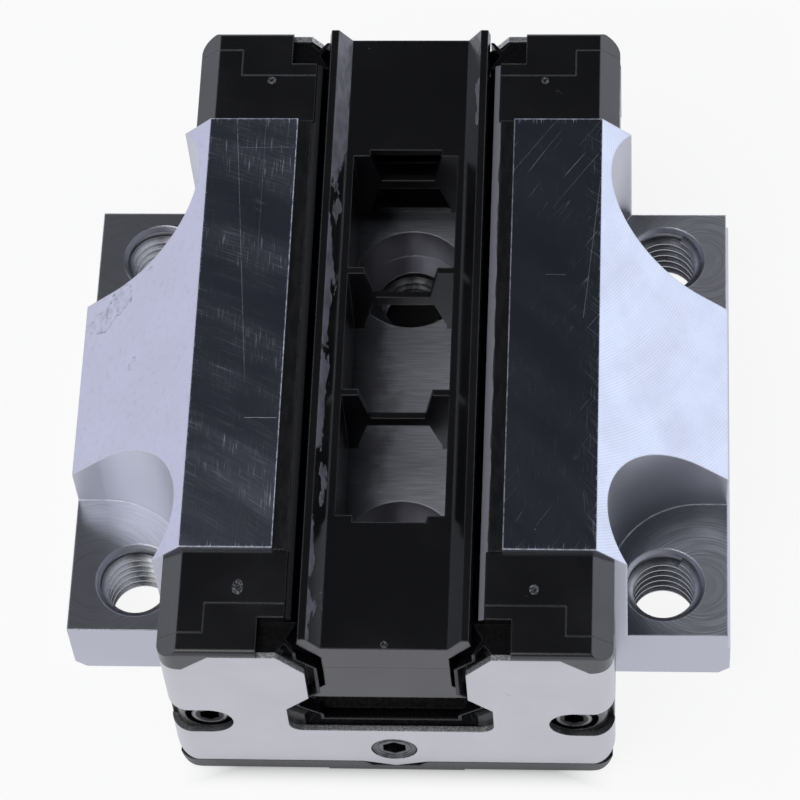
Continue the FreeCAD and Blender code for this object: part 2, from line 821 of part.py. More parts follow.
def cut_plate_rebate(body, name):
    """Room for the plate between the rims, and for its bent edges up to the height of its ears."""
    low = "plate_bottom - plate_play"
    high = "plate_ear + plate_play"
    outside = "plate_width / 2 + plate_thickness"
    rebate = both_sides([
        ("plate_tab_half - (plate_bottom - plate_tab)", "plate_tab - plate_play"),
        ("plate_tab_half", low),
        (outside, low),
        (outside, high),
        ("plate_ear_outer", high),
        ("plate_ear_inner", "plate_top + plate_play"),
    ])
    cut(body, outline(body, f"Rebate_{name}", "XZ_Plane", [rebate], "plate_face"), "plate_thickness")
    loops = corner_trims("plate_width / 2 - plate_thickness", "carrier_face", "plate_bend")
    cut(body, outline(body, f"Bends_{name}", "XY_Plane", loops, low), f"{high} - ({low})", reverse=True)


def make_end_seal(name, placement):
    """A rubber frame with two lips round the rail."""
    body = new_body(name, placement)
    frame = both_sides([("seal_width / 2", "seal_bottom"), ("seal_width / 2", "seal_top")])
    back = "carrier_face - seal_depth"
    pad(body, outline(body, f"Section_{name}", "XZ_Plane", [frame], back), "seal_depth")
    lips = both_sides(rail_opening("seal_lip", "leg_height"))
    cut(body, outline(body, f"Lips_{name}", "XZ_Plane", [lips]))
    between = both_sides(rail_opening("0", "leg_height"))
    gap_face = "carrier_face - seal_lip_thickness"
    gap = outline(body, f"Between_{name}", "XZ_Plane", [between], gap_face)
    cut(body, gap, "seal_depth - 3 * seal_lip_thickness")


def make_end_plate(name, placement):
    body = new_body(name, placement)
    half = "plate_width / 2"
    bend_x = f"{half} - plate_thickness - plate_bend"
    bend_y = "-(carrier_face - plate_bend)"
    inner = "plate_bend"
    outer = "plate_bend + plate_thickness"
    strip = [
        (f"-({bend_x})", "-(plate_face)"),
        (bend_x, "-(plate_face)", outer, 1),
        (half, bend_y),
        (f"{half} - plate_thickness", bend_y, inner, -1),
        (bend_x, "-(carrier_face)"),
        (f"-({bend_x})", "-(carrier_face)", inner, -1),
        (f"-({half} - plate_thickness)", bend_y),
        (f"-({half})", bend_y, outer, 1),
    ]
    sketch = outline(body, f"Strip_{name}", "XY_Plane", [strip], "plate_tab")
    pad(body, sketch, "plate_top - plate_tab")
    trim_plate_edges(body, name)
    cut_plate_window(body, name)
    slot_plate_sides(body, name)
    port = circles(body, f"Port_{name}", "XZ_Plane", PLUG_PLACES, "port_width", "plate_face")
    cut(body, port, "plate_thickness")


def trim_plate_edges(body, name):
    """Cut the ears at the top and leave a tab in the middle of the bottom edge."""
    outside = "plate_width / 2 + plate_thickness"
    rise = "plate_bottom - plate_tab"
    foot = "plate_tab - plate_thickness"
    corner_x = "plate_width / 2 - plate_corner"
    loops = []
    for side in SIDES:
        loops.append([
            (times(side, "plate_ear_inner"), "leg_height"),
            (times(side, "plate_ear_inner"), "plate_top"),
            (times(side, "plate_ear_outer"), "plate_ear"),
            (times(side, outside), "plate_ear"),
            (times(side, outside), "leg_height"),
        ])
        loops.append([
            (times(side, f"plate_tab_half - {rise}"), foot),
            (times(side, f"plate_tab_half - {rise}"), "plate_tab"),
            (times(side, "plate_tab_half"), "plate_bottom"),
            (times(side, corner_x), "plate_bottom", "plate_corner", side),
            (times(side, "plate_width / 2"), "plate_bottom + plate_corner"),
            (times(side, outside), "plate_bottom + plate_corner"),
            (times(side, outside), foot),
        ])
    sketch = outline(body, f"Edges_{name}", "XZ_Plane", loops, "plate_face")
    cut(body, sketch, "plate_face")


def cut_plate_window(body, name):
    foot_corner = "window_head_half - window_corner"
    half = [
        (foot_corner, "window_foot", "window_corner", 1),
        ("window_head_half", "window_foot + window_corner"),
        ("window_head_half", "window_head_top"),
        ("window_waist_half", "window_waist_foot"),
        ("window_waist_half", "window_waist_top"),
        ("window_top_half", "plate_top"),
        ("window_top_half", "leg_height"),
    ]
    left = [(f"-({corner[0]})", corner[1]) for corner in reversed(half)]
    left[-2] = (*left[-2], "window_corner", 1)
    window = half + left
    cut(body, outline(body, f"Window_{name}", "XZ_Plane", [window], "plate_face"), "plate_face")


def slot_plate_sides(body, name):
    """Round-ended slots for the screw heads, open at the bent edges."""
    outside = "plate_width / 2 + plate_thickness"
    centre = "screw_half"
    radius = "screw_slot / 2"
    loops = []
    for side in SIDES:
        loops.append([
            (times(side, outside), f"screw_height + {radius}"),
            (times(side, centre), f"screw_height + {radius}", radius, side),
            (times(side, f"{centre} - {radius}"), "screw_height", radius, side),
            (times(side, centre), f"screw_height - {radius}"),
            (times(side, outside), f"screw_height - {radius}"),
        ])
    cut(body, outline(body, f"Slots_{name}", "XZ_Plane", loops, "plate_face"), "plate_face")


def make_plate_screws(name, placement):
    """Two screws, each with its head on the end cap and its shank in the steel body."""
    body = new_body(name, placement)
    face = "carrier_face - screw_head_set"
    heads = circles(body, f"Heads_{name}", "XZ_Plane", SCREW_PLACES, "screw_head", "cap_face")
    pad(body, heads, f"{face} - cap_face")
    tip = "body_end - screw_reach"
    shanks = flat_sided(body, f"Shanks_{name}", "XZ_Plane", SCREW_PLACES, "screw_shank", FLAT_SIDES, tip)
    pad(body, shanks, f"cap_face - ({tip})")
    sockets = flat_sided(body, f"Sockets_{name}", "XZ_Plane", SCREW_PLACES, "screw_hexagon", 6, face)
    cut(body, sockets, "screw_socket")


def make_lube_plug(name, placement):
    body = new_body(name, placement)
    face = "plate_face - plug_set"
    pin = circles(body, f"Pin_{name}", "XZ_Plane", PLUG_PLACES, "plug_diameter", f"{face} - plug_length")
    pad(body, pin, "plug_length")
    socket = flat_sided(body, f"Socket_{name}", "XZ_Plane", PLUG_PLACES, "plug_hexagon", 6, face)
    cut(body, socket, "plug_socket")


# Transport arbor: a hollow dummy rail with two decks and four notched ribs

def make_transport_arbor():
    slide = Placement(Vector(0, worth("arbor_shift"), 0), Rotation())
    body = new_body("transport_arbor", slide)
    body.setExpression("Placement.Base.y", bound("arbor_shift"))
    section = both_sides([
        ("arbor_head", "arbor_bottom"),
        ("arbor_head", "arbor_head_top"),
        ("arbor_waist", "arbor_waist_foot"),
        ("arbor_waist", "arbor_waist_top"),
        ("arbor_flare", "arbor_flare_height"),
        ("arbor_lip_outer", "arbor_top"),
        ("arbor_lip_inner", "arbor_top"),
        ("arbor_deck_half", "arbor_deck"),
    ])
    pad(body, outline(body, "ArborSection", "XZ_Plane", [section]), "arbor_length", symmetric=True)
    open_arbor_bays(body)
    notch_ribs(body)
    for end in SIDES:
        name = "FrontStep" if end > 0 else "RearStep"
        face = both_sides([("arbor_head", "0"), ("arbor_head", "end_face_line")])
        step = outline(body, name, "XZ_Plane", [face], times(end, "arbor_length / 2"))
        cut(body, step, "end_face_step", reverse=end < 0)


def bay(start, end):
    """A rectangle of the cavity between two places along the arbor."""
    half = "arbor_cavity_half"
    return [(f"-{half}", start), (half, start), (half, end), (f"-{half}", end)]


def open_arbor_bays(body):
    """Three bays right through between the ribs, and a hollow under each deck."""
    wall = "rib_thickness / 2"
    bays = []
    for step in (-1, 0, 1):
        bays.append(bay(f"({step} - 0.5) * rib_spacing + {wall}", f"({step} + 0.5) * rib_spacing - {wall}"))
    cut(body, outline(body, "Bays", "XY_Plane", bays))
    inner = f"1.5 * rib_spacing + {wall}"
    outer = "arbor_length / 2 - arbor_end_wall"
    hollows = [bay(inner, outer), bay(f"-({outer})", f"-({inner})")]
    sketch = outline(body, "Hollows", "XY_Plane", hollows)
    cut(body, sketch, "arbor_deck - deck_thickness", reverse=True)


def notch_ribs(body):
    """A flat-bottomed notch in the top of each rib, and an arch under it."""
    notch = both_sides([
        ("notch_foot_half", "notch_foot"),
        ("notch_top_half", "arbor_deck + end_face_step"),
    ])
    arch = both_sides([
        ("arch_foot_half", "arbor_bottom - end_face_step"),
        ("arch_foot_half", "arch_foot"),
        ("arch_top_half", "arch_top"),
    ])
    reach = "1.5 * rib_spacing + rib_thickness / 2"
    for name, loop in (("Notches", notch), ("Arches", arch)):
        cut(body, outline(body, name, "XZ_Plane", [loop], reach), f"2 * ({reach})")


# Assembly

make_runner_body()
for hand, place in RIGHT_AND_LEFT.items():
    make_track_insert(f"track_insert_{hand}", place)
    make_ball_guide(f"ball_guide_{hand}", place)
    make_floor_guide(f"floor_guide_{hand}", place)
    make_side_seal(f"side_seal_{hand}", place)
common_ball = make_ball()
for hand, hand_sign in (("right", 1), ("left", -1)):
    for level, level_sign in ROWS.items():
        make_ball_circuit(f"ball_circuit_{hand}_{level}", hand_sign, level_sign, common_ball)
for where, place in FRONT_AND_REAR.items():
    make_end_cap(f"end_cap_{where}", place)
    make_turn_guides(f"turn_guides_{where}", place)
    make_seal_carrier(f"seal_carrier_{where}", place)
    make_end_seal(f"end_seal_{where}", place)
    make_end_plate(f"end_plate_{where}", place)
    make_plate_screws(f"plate_screws_{where}", place)
    make_lube_plug(f"lube_plug_{where}", place)
make_transport_arbor()
doc.recompute()

for item in doc.Objects:
    if "Invalid" in item.State or "Error" in item.State:
        raise RuntimeError(f"{item.Label} failed to build: {item.State}")
for node in nodes:
    if node.Shape.isNull() or not node.Shape.isValid():
        raise RuntimeError(f"{node.Label} has no valid shape")

os.makedirs("parts", exist_ok=True)
for node in nodes:
    node.Shape.exportStep(f"parts/{node.Label}.step")
    print(node.Label, len(node.Shape.Solids), round(node.Shape.Volume, 1))
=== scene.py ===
# %% [markdown]
# # A linear guide block, dressed in Blender
#
# The object is a flanged steel runner block on its black plastic transport arbor. Its shape comes from the
# imported CAD model, which is the fixed frame here. This lesson gives every CAD node a finish, models the small
# things that solids leave out, and sets up a plain studio with the camera where the photographer stood.
#
# The frame comes first.

# %% Load the frame
import math
import bpy
from mathutils import Matrix, Vector


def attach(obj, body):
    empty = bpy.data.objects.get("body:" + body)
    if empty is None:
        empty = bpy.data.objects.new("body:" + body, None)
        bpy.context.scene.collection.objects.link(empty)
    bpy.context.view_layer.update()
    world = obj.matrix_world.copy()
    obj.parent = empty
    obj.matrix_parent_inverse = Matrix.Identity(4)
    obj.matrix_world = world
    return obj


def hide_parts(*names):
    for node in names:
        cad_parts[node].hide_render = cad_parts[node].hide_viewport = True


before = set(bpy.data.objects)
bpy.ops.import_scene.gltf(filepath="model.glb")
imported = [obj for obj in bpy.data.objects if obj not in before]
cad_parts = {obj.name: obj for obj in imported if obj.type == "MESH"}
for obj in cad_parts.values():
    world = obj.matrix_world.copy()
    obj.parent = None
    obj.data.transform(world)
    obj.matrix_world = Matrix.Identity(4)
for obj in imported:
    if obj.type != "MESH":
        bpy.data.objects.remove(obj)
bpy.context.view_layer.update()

MM = 0.001
bpy.ops.object.select_all(action="DESELECT")

# %% [markdown]
# ## Camera
#
# The photo looks down into the channel from the front, with a long lens and a slight roll. A camera can be
# aimed with constraints, but a roll is easier to state as three directions: what points right in the picture,
# what points up, and what points back at the photographer.

# %% Camera
to_right = Vector((0.997822, 0.038172, -0.053853))
to_top = Vector((-0.005896, 0.864122, 0.503249))
to_camera = Vector((0.065745, -0.501833, 0.86246))
camera_place = Vector((0.034373, -0.267062, 0.474697))

lens = bpy.data.cameras.new("photo_camera")
lens.sensor_width = 36
lens.lens = 172.88
lens.clip_start = 0.01
camera = bpy.data.objects.new("photo_camera", lens)
bpy.context.scene.collection.objects.link(camera)
turn = Matrix((to_right, to_top, to_camera)).transposed()
camera.matrix_world = Matrix.Translation(camera_place) @ turn.to_4x4()
bpy.context.scene.camera = camera
bpy.context.scene.view_settings.view_transform = "Standard"
print("Camera", round(lens.lens, 1), "mm at", [round(value, 3) for value in camera_place])

# %% [markdown]
# ## Node helpers
#
# Finishes are trees of nodes. Small helpers keep them short. Some link or set sockets, some do sums and mixes,
# some turn a value into a mask, and the last ones read where a point lies and which way its face looks.

# %% Node helpers: sockets and sums
def feed(tree, socket, value):
    """Link a socket to another, or set it to a plain value."""
    if isinstance(value, bpy.types.NodeSocket):
        tree.links.new(value, socket)
    else:
        socket.default_value = value


def add(tree, kind, inputs=None, **settings):
    """A node with its settings, and its inputs linked or set by name."""
    item = tree.nodes.new(kind)
    for name, value in settings.items():
        setattr(item, name, value)
    for name, value in (inputs or {}).items():
        feed(tree, item.inputs[name], value)
    return item


def calc(tree, operation, *values):
    item = add(tree, "ShaderNodeMath", operation=operation)
    for socket, value in zip(item.inputs, values):
        feed(tree, socket, value)
    return item.outputs[0]


def chain(tree, operation, values):
    """One operation, done with each further value in turn."""
    result = values[0]
    for value in values[1:]:
        result = calc(tree, operation, result, value)
    return result


def total(tree, *values):
    return chain(tree, "ADD", values)


def product(tree, *values):
    return chain(tree, "MULTIPLY", values)


def highest(tree, *values):
    return chain(tree, "MAXIMUM", values)


def minus(tree, first, second):
    return calc(tree, "SUBTRACT", first, second)


def size_of(tree, value):
    return calc(tree, "ABSOLUTE", value)


print("Sums ready")

# %% Node helpers: masks, mixes and places
def above(tree, value, limit):
    return calc(tree, "GREATER_THAN", value, limit)


def below(tree, value, limit):
    return calc(tree, "LESS_THAN", value, limit)


def within(tree, value, low, high):
    """1 between two limits, 0 outside them."""
    return product(tree, above(tree, value, low), below(tree, value, high))


def soft(tree, value, low, high, start=0.0, end=1.0):
    """A smooth step from start at low to end at high."""
    inputs = {"Value": value, "From Min": low, "From Max": high, "To Min": start, "To Max": end}
    return add(tree, "ShaderNodeMapRange", inputs, interpolation_type="SMOOTHSTEP").outputs[0]


def line_mask(tree, value, place, half):
    """1 on a line, 0 beyond half its width."""
    return soft(tree, size_of(tree, minus(tree, value, place)), 0.0, half, 1.0, 0.0)


def blend(tree, mask, first, second):
    """Two colours or two numbers, mixed by a mask."""
    item = add(tree, "ShaderNodeMix")
    sample = second if not isinstance(second, bpy.types.NodeSocket) else first
    colour = isinstance(sample, tuple) or getattr(sample, "type", "") == "RGBA"
    item.data_type = "RGBA" if colour else "FLOAT"
    spots = (6, 7, 2) if colour else (2, 3, 0)
    feed(tree, item.inputs[0], mask)
    feed(tree, item.inputs[spots[0]], first)
    feed(tree, item.inputs[spots[1]], second)
    return item.outputs[spots[2]]


def split(tree, vector):
    """The three parts of a vector."""
    return add(tree, "ShaderNodeSeparateXYZ", {"Vector": vector}).outputs


def place_of(tree):
    """The shaded point's object coordinates, in metres."""
    return add(tree, "ShaderNodeTexCoord").outputs["Object"]


def facing(tree):
    """The three parts of the direction that the flat face under the point looks in."""
    return split(tree, add(tree, "ShaderNodeNewGeometry").outputs["True Normal"])


def from_point(tree, first, second, point):
    """How far two coordinates lie from a point of their plane, which is given in mm."""
    gaps = {"X": minus(tree, first, point[0] * MM), "Y": minus(tree, second, point[1] * MM)}
    length = add(tree, "ShaderNodeVectorMath", operation="LENGTH")
    feed(tree, length.inputs[0], add(tree, "ShaderNodeCombineXYZ", gaps).outputs[0])
    return length.outputs["Value"]


def noise(tree, where, scale, detail):
    inputs = {"Vector": where, "Scale": scale, "Detail": detail}
    return add(tree, "ShaderNodeTexNoise", inputs).outputs[0]


def flat_noise(tree, across, along, detail=2.0, shift=0.0):
    """Noise over two coordinates that are scaled on their own."""
    spot = add(tree, "ShaderNodeCombineXYZ", {"X": across, "Y": along, "Z": shift}).outputs[0]
    return noise(tree, spot, 1.0, detail)


print("Masks, mixes and places ready")

# %% [markdown]
# ## Shared effects
#
# Several finishes show the same marks: fine lines left by a cutter or a grinding wheel, long thin scratches
# and small specks. Each is a node group with named inputs, built once. Lines are noise that is squeezed across
# and stretched along. A scratch is the thin contour where a stretched noise passes its middle value, broken up
# by a second noise. Specks are the middles of some cells of a Voronoi pattern. A face mill leaves evener lines
# than a wheel does, so these are a sine wave that wanders and fades a little.

# %% Shared effects
FLOAT, VECTOR = "NodeSocketFloat", "NodeSocketVector"


def new_group(name, inputs, output):
    group = bpy.data.node_groups.new(name, "ShaderNodeTree")
    for label, value in inputs.items():
        kind = FLOAT if isinstance(value, float) else VECTOR
        group.interface.new_socket(label, in_out="INPUT", socket_type=kind).default_value = value
    group.interface.new_socket(output, in_out="OUTPUT", socket_type=FLOAT)
    start, end = group.nodes.new("NodeGroupInput"), group.nodes.new("NodeGroupOutput")
    return group, start.outputs, end.inputs[output]


tool_lines, given, result = new_group(
    "tool_lines", {"Across": 0.0, "Along": 0.0, "Spacing": 0.0004, "Length": 0.02}, "Height")
across = calc(tool_lines, "DIVIDE", given["Across"], given["Spacing"])
along = calc(tool_lines, "DIVIDE", given["Along"], given["Length"])
feed(tool_lines, result, flat_noise(tool_lines, across, along, 3.0))

scratches, given, result = new_group("scratches", {
    "Across": 0.0, "Along": 0.0, "Gap": 0.003, "Length": 0.05, "Width": 0.02, "Share": 0.5}, "Mask")
across = calc(scratches, "DIVIDE", given["Across"], given["Gap"])
along = calc(scratches, "DIVIDE", given["Along"], given["Length"])
offset = size_of(scratches, minus(scratches, flat_noise(scratches, across, along, 0.0), 0.5))
thin = soft(scratches, offset, 0.0, given["Width"], 1.0, 0.0)
broken = flat_noise(scratches, product(scratches, across, 0.9), product(scratches, along, 2.5), 2.0, 8.0)
limit = minus(scratches, 1.0, given["Share"])
kept = soft(scratches, broken, limit, total(scratches, limit, 0.12))
feed(scratches, result, product(scratches, thin, kept))

mill_lines, given, result = new_group(
    "mill_lines", {"Across": 0.0, "Along": 0.0, "Spacing": 0.0006, "Wander": 0.6}, "Height")
steps = calc(mill_lines, "DIVIDE", given["Across"], given["Spacing"])
drift = flat_noise(mill_lines, product(mill_lines, steps, 0.3), given["Along"], 2.0)
phase = total(mill_lines, steps, product(mill_lines, drift, given["Wander"]))
wave = calc(mill_lines, "SINE", product(mill_lines, phase, 2 * math.pi))
fading = flat_noise(mill_lines, product(mill_lines, steps, 0.15), given["Along"], 2.0, 5.0)
strong = soft(mill_lines, fading, 0.25, 0.7, 0.4, 1.0)
feed(mill_lines, result, product(mill_lines, total(mill_lines, wave, 1.0), strong, 0.5))

specks, given, result = new_group(
    "specks", {"Vector": (0.0, 0.0, 0.0), "Scale": 500.0, "Size": 0.1, "Share": 0.3}, "Mask")
cells = add(specks, "ShaderNodeTexVoronoi", {"Vector": given["Vector"], "Scale": given["Scale"]}).outputs
spot = soft(specks, cells["Distance"], 0.0, given["Size"], 1.0, 0.0)
lot = add(specks, "ShaderNodeSeparateColor", {"Color": cells["Color"]}).outputs[0]
feed(specks, result, product(specks, spot, below(specks, lot, given["Share"])))

print("Effects:", [group.name for group in bpy.data.node_groups])

# %% [markdown]
# ## Using an effect
#
# A finish is a Principled shader with its plain values set on its own sockets. Its edges are softened by a
# Bevel node, which rounds the shading over a hair's width, because real edges always catch a line of light.

# %% Finish helpers
FINE = 0.01 * MM


def effect(tree, group, inputs):
    item = tree.nodes.new("ShaderNodeGroup")
    item.node_tree = group
    for name, value in inputs.items():
        feed(tree, item.inputs[name], value)
    return item.outputs[0]


def lines(tree, across, along, spacing, length):
    return effect(tree, tool_lines, {"Across": across, "Along": along, "Spacing": spacing, "Length": length})


def scratch_mask(tree, across, along, gap, length, width, share):
    return effect(tree, scratches, {
        "Across": across, "Along": along, "Gap": gap, "Length": length, "Width": width, "Share": share})


def new_finish(name, **plain):
    finish = bpy.data.materials.new(name)
    finish.use_nodes = True
    tree = finish.node_tree
    shader = tree.nodes["Principled BSDF"]
    for label, value in plain.items():
        shader.inputs[label.replace("_", " ")].default_value = value
    return finish, tree, shader.inputs


def round_edges(tree, radius):
    """Normals rounded over a radius."""
    return add(tree, "ShaderNodeBevel", {"Radius": radius}, samples=4).outputs[0]


def edge_mask(tree, rounded):
    """A mask of the edges, where the rounded normals turn away from the flat face."""
    match = add(tree, "ShaderNodeVectorMath", operation="DOT_PRODUCT")
    feed(tree, match.inputs[0], rounded)
    feed(tree, match.inputs[1], add(tree, "ShaderNodeNewGeometry").outputs["True Normal"])
    return soft(tree, match.outputs["Value"], 0.995, 0.86)


def relief(tree, shader, height, depth, rounded):
    """Bump of a depth in metres over rounded edges."""
    bump = add(tree, "ShaderNodeBump", {"Height": height, "Distance": depth, "Normal": rounded})
    feed(tree, shader["Normal"], bump.outputs[0])


def dress(finish, *names):
    for name in names:
        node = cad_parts[name]
        node.data.materials.clear()
        node.data.materials.append(finish)


print("Finish helpers ready")

# %% [markdown]
# ## Steel of the runner body
#
# One block of steel, but each face was made by a different tool. The leg faces are ground dark and scratched by
# handling, the 45 degree shoulders carry the sweeping arcs of a face mill, the corner flats have rings from an
# end mill, and the channel floor has lines across it. The finish tells the faces apart by where they lie and
# where they look, and gives each its own lines. The photo shows the left and the right side in different tones,
# so each side has values of its own; on the shoulders and the corner flats the right side's brighter colours are
# painted light.

# %% Body steel: telling the faces apart
BODY_END = 33.7 * MM
LEGS_FROM, SLOPES_FROM = 34 * MM, 17 * MM
FLATS_TO, FLOOR_TO = 11.5 * MM, 13 * MM
LOOKS_UP, LOOKS_ASIDE = 0.9, 0.3

body_steel, tree, shader = new_finish("body_steel", Metallic=1.0)
where = place_of(tree)
x, y, z = split(tree, where)
wide, far = size_of(tree, x), size_of(tree, y)
looks_z = facing(tree)[2]
level_face = above(tree, looks_z, LOOKS_UP)
leg_face = product(tree, level_face, above(tree, z, LEGS_FROM))
corner_flat = product(tree, level_face, below(tree, z, FLATS_TO))
channel_floor = product(tree, level_face, within(tree, z, FLATS_TO, FLOOR_TO))
shoulder = product(tree, within(tree, looks_z, 0.5, LOOKS_UP), above(tree, z, SLOPES_FROM))
upright = below(tree, size_of(tree, looks_z), LOOKS_ASIDE)
right_half = above(tree, x, 0.0)
haze = noise(tree, where, 130.0, 4.0)
grit = noise(tree, where, 1100.0, 2.0)
print("Faces told apart with", len(tree.nodes), "nodes")

# %% Body steel: lines left by the tools
SHOULDER_EDGE = 27.15 * MM
SLOPE_STRETCH = 1.394
MILL_CENTRE = (-26, 30)
POCKET = (41, 26)

down_slope = product(tree, minus(tree, wide, SHOULDER_EDGE), SLOPE_STRETCH)
sweep_lines = effect(tree, mill_lines, {
    "Across": from_point(tree, down_slope, y, MILL_CENTRE), "Along": product(tree, y, 60.0),
    "Spacing": 0.4 * MM})
ring = from_point(tree, wide, far, POCKET)
ring_lines = lines(tree, ring, x, 0.25 * MM, 5 * MM)
ground_lines = lines(tree, x, y, 0.22 * MM, 12 * MM)
cross_lines = lines(tree, y, x, 0.18 * MM, 5 * MM)
wall_lines = lines(tree, z, far, 0.6 * MM, 20 * MM)
print("Tool lines added:", len(tree.nodes), "nodes")

# %% Body steel: marks of handling on the left leg
SCRATCH = 0.07 * MM
WIPE_CENTRE = (-60, -90)

cross_way = from_point(tree, x, y, WIPE_CENTRE)
bands = soft(tree, lines(tree, cross_way, x, 6 * MM, 30 * MM), 0.3, 0.75)
hairs = soft(tree, lines(tree, x, y, 0.16 * MM, 4 * MM), 0.55, 0.8)
streaks = soft(tree, lines(tree, cross_way, x, 0.22 * MM, 5 * MM), 0.5, 0.8)
drags = scratch_mask(tree, cross_way, x, 2 * MM, 20 * MM, 0.012, 0.42)
drift = product(tree, minus(tree, BODY_END, y), 0.083)
long_line = product(tree, line_mask(tree, minus(tree, x, drift), -23.5 * MM, SCRATCH),
                    soft(tree, y, -10 * MM, -4 * MM))
short_line = product(tree, line_mask(tree, x, -19.4 * MM, 0.06 * MM), soft(tree, y, 6 * MM, 14 * MM))


def cut(x_from, x_to, y_at):
    """A single scratch across a leg."""
    wavy = total(tree, y, product(tree, haze, 0.6 * MM))
    return product(tree, line_mask(tree, wavy, y_at * MM, SCRATCH), within(tree, x, x_from * MM, x_to * MM))


cuts = highest(tree, cut(-19.7, -15.4, -14.0), product(tree, cut(-23.0, -15.0, 29.2), 0.4),
               cut(19.7, 22.5, 8.5))
left_marks = total(
    tree, soft(tree, y, -32 * MM, -8 * MM, 0.1, 0.0), product(tree, bands, 0.16), product(tree, cuts, 0.8),
    product(tree, hairs, soft(tree, bands, 0.3, 0.9, 0.1, 0.75)),
    product(tree, streaks, soft(tree, bands, 0.1, 0.8, 0.08, 0.26)), product(tree, drags, 0.2),
    product(tree, short_line, 0.3), product(tree, long_line, soft(tree, grit, 0.3, 0.55, 0.15, 0.5)))
print("Left leg marked:", len(tree.nodes), "nodes")

# %% Body steel: marks on the right leg, and burred edges with painted highlights
LEG_INSIDE = 15 * MM

slash = minus(tree, x, product(tree, y, 0.092))
slash_line = product(tree, line_mask(tree, slash, 24.85 * MM, SCRATCH), within(tree, y, 1.5 * MM, 23.5 * MM))
nicks = effect(tree, specks, {"Vector": where, "Scale": 420.0, "Size": 0.07, "Share": 0.2})
outer_edge = soft(tree, wide, 23.5 * MM, 27 * MM)
slant = minus(tree, product(tree, x, 0.82), product(tree, y, 0.57))
slants = scratch_mask(tree, slant, y, 1.2 * MM, 20 * MM, 0.014, 0.49)
busy = highest(tree, outer_edge, soft(tree, y, 12 * MM, 30 * MM),
               soft(tree, y, -32 * MM, -22 * MM, 1.0, 0.0))
right_marks = total(
    tree, product(tree, slash_line, 0.5), product(tree, nicks, 0.6), product(tree, bands, 0.07),
    product(tree, cuts, 0.5), product(tree, hairs, soft(tree, outer_edge, 0.0, 1.0, 0.14, 0.4)),
    product(tree, drags, outer_edge, 0.5), product(tree, slants, soft(tree, busy, 0.0, 1.0, 0.12, 0.75)),
    product(tree, streaks, soft(tree, outer_edge, 0.0, 1.0, 0.03, 0.3)))

to_end = minus(tree, BODY_END, far)
fuzz = product(tree, soft(tree, to_end, 0.0, 1.4 * MM, 1.0, 0.0), soft(tree, hairs, 0.0, 0.5, 0.1, 1.0))
# Bright lines along the leg edges and at the body's ends are burrs in part and in part painted highlights.
inner_edge_glint = soft(tree, wide, LEG_INSIDE + 0.06 * MM, LEG_INSIDE + 0.2 * MM, 1.0, 0.0)
outer_edge_glint = soft(tree, wide, SHOULDER_EDGE - 0.35 * MM, SHOULDER_EDGE - 0.05 * MM)
burr_and_glint = highest(
    tree, product(tree, inner_edge_glint, blend(tree, right_half, 1.0, 0.6)),
    soft(tree, to_end, 0.06 * MM, 0.2 * MM, 0.9, 0.0), product(tree, fuzz, 0.9),
    product(tree, outer_edge_glint, soft(tree, grit, 0.5, 0.65), 0.4))
burr_and_glint = product(tree, burr_and_glint, soft(tree, grit, 0.35, 0.6, 0.3, 1.0))
marks = highest(tree, blend(tree, right_half, left_marks, right_marks), burr_and_glint)
leg_marks = product(tree, calc(tree, "MINIMUM", marks, 1.0), leg_face)
print("Right leg and edges marked:", len(tree.nodes), "nodes")

# %% Body steel: dried drips on the left shoulder
DRIPS = (
    ((-42.6, 9.4), 2.1), ((-39.2, 11.2), 1.9), ((-35.4, 13.8), 1.7),
    ((-35.9, -4.6), 0.25), ((-36.8, -0.9), 0.2))


def drip(centre, reach):
    """A ragged blot with a dark rim; gives its inside and its rim."""
    ragged = total(tree, from_point(tree, x, y, centre), product(tree, minus(tree, haze, 0.5), 12 * MM),
                   product(tree, grit, 1.2 * MM))
    return soft(tree, ragged, reach, reach + 0.1 * MM, 1.0, 0.0), line_mask(tree, ragged, reach, 0.22 * MM)


insides, rims = zip(*[drip(centre, reach * MM) for centre, reach in DRIPS])
left_shoulder = product(tree, minus(tree, 1.0, right_half), shoulder)
drip_inside = product(tree, highest(tree, *insides), left_shoulder)
drip_rim = product(tree, highest(tree, *rims), left_shoulder, soft(tree, grit, 0.4, 0.62))
print("Drips:", len(DRIPS))

# %% Body steel: colours of the walls, legs and shoulders
WALL = (0.52, 0.53, 0.59, 1.0)
LEG_LEFT, LEG_RIGHT = (0.23, 0.25, 0.33, 1.0), (0.2, 0.22, 0.285, 1.0)
# The right shoulder has a brighter colour than the left: painted light, for the brighter room on the right.
SLOPE_LEFT, SLOPE_RIGHT = (0.56, 0.57, 0.7, 1.0), (0.66, 0.72, 0.86, 1.0)
SLOPE_HAZE, SLOPE_GRIT, SLOPE_ARC = (0.52, 0.53, 0.6, 1.0), (0.42, 0.43, 0.5, 1.0), (0.84, 0.88, 0.97, 1.0)
DRIP_STAIN, DRIP_RIM = (0.3, 0.3, 0.33, 1.0), (0.1, 0.1, 0.11, 1.0)

colour = blend(tree, leg_face, WALL, blend(tree, right_half, LEG_LEFT, LEG_RIGHT))
slope = blend(tree, right_half, SLOPE_LEFT, SLOPE_RIGHT)
slope = blend(tree, soft(tree, haze, 0.3, 0.7, 0.0, 0.4), slope, SLOPE_HAZE)
gritty = product(tree, soft(tree, grit, 0.5, 0.75), blend(tree, right_half, 0.3, 0.1))
slope = blend(tree, gritty, slope, SLOPE_GRIT)
slope = blend(tree, product(tree, right_half, sweep_lines, 0.5), slope, SLOPE_ARC)
stained = product(tree, drip_inside, soft(tree, grit, 0.35, 0.65, 0.03, 0.3))
slope = blend(tree, stained, slope, DRIP_STAIN)
slope = blend(tree, product(tree, drip_rim, 0.7), slope, DRIP_RIM)
colour = blend(tree, shoulder, colour, slope)
print("Legs and shoulders coloured:", len(tree.nodes), "nodes")

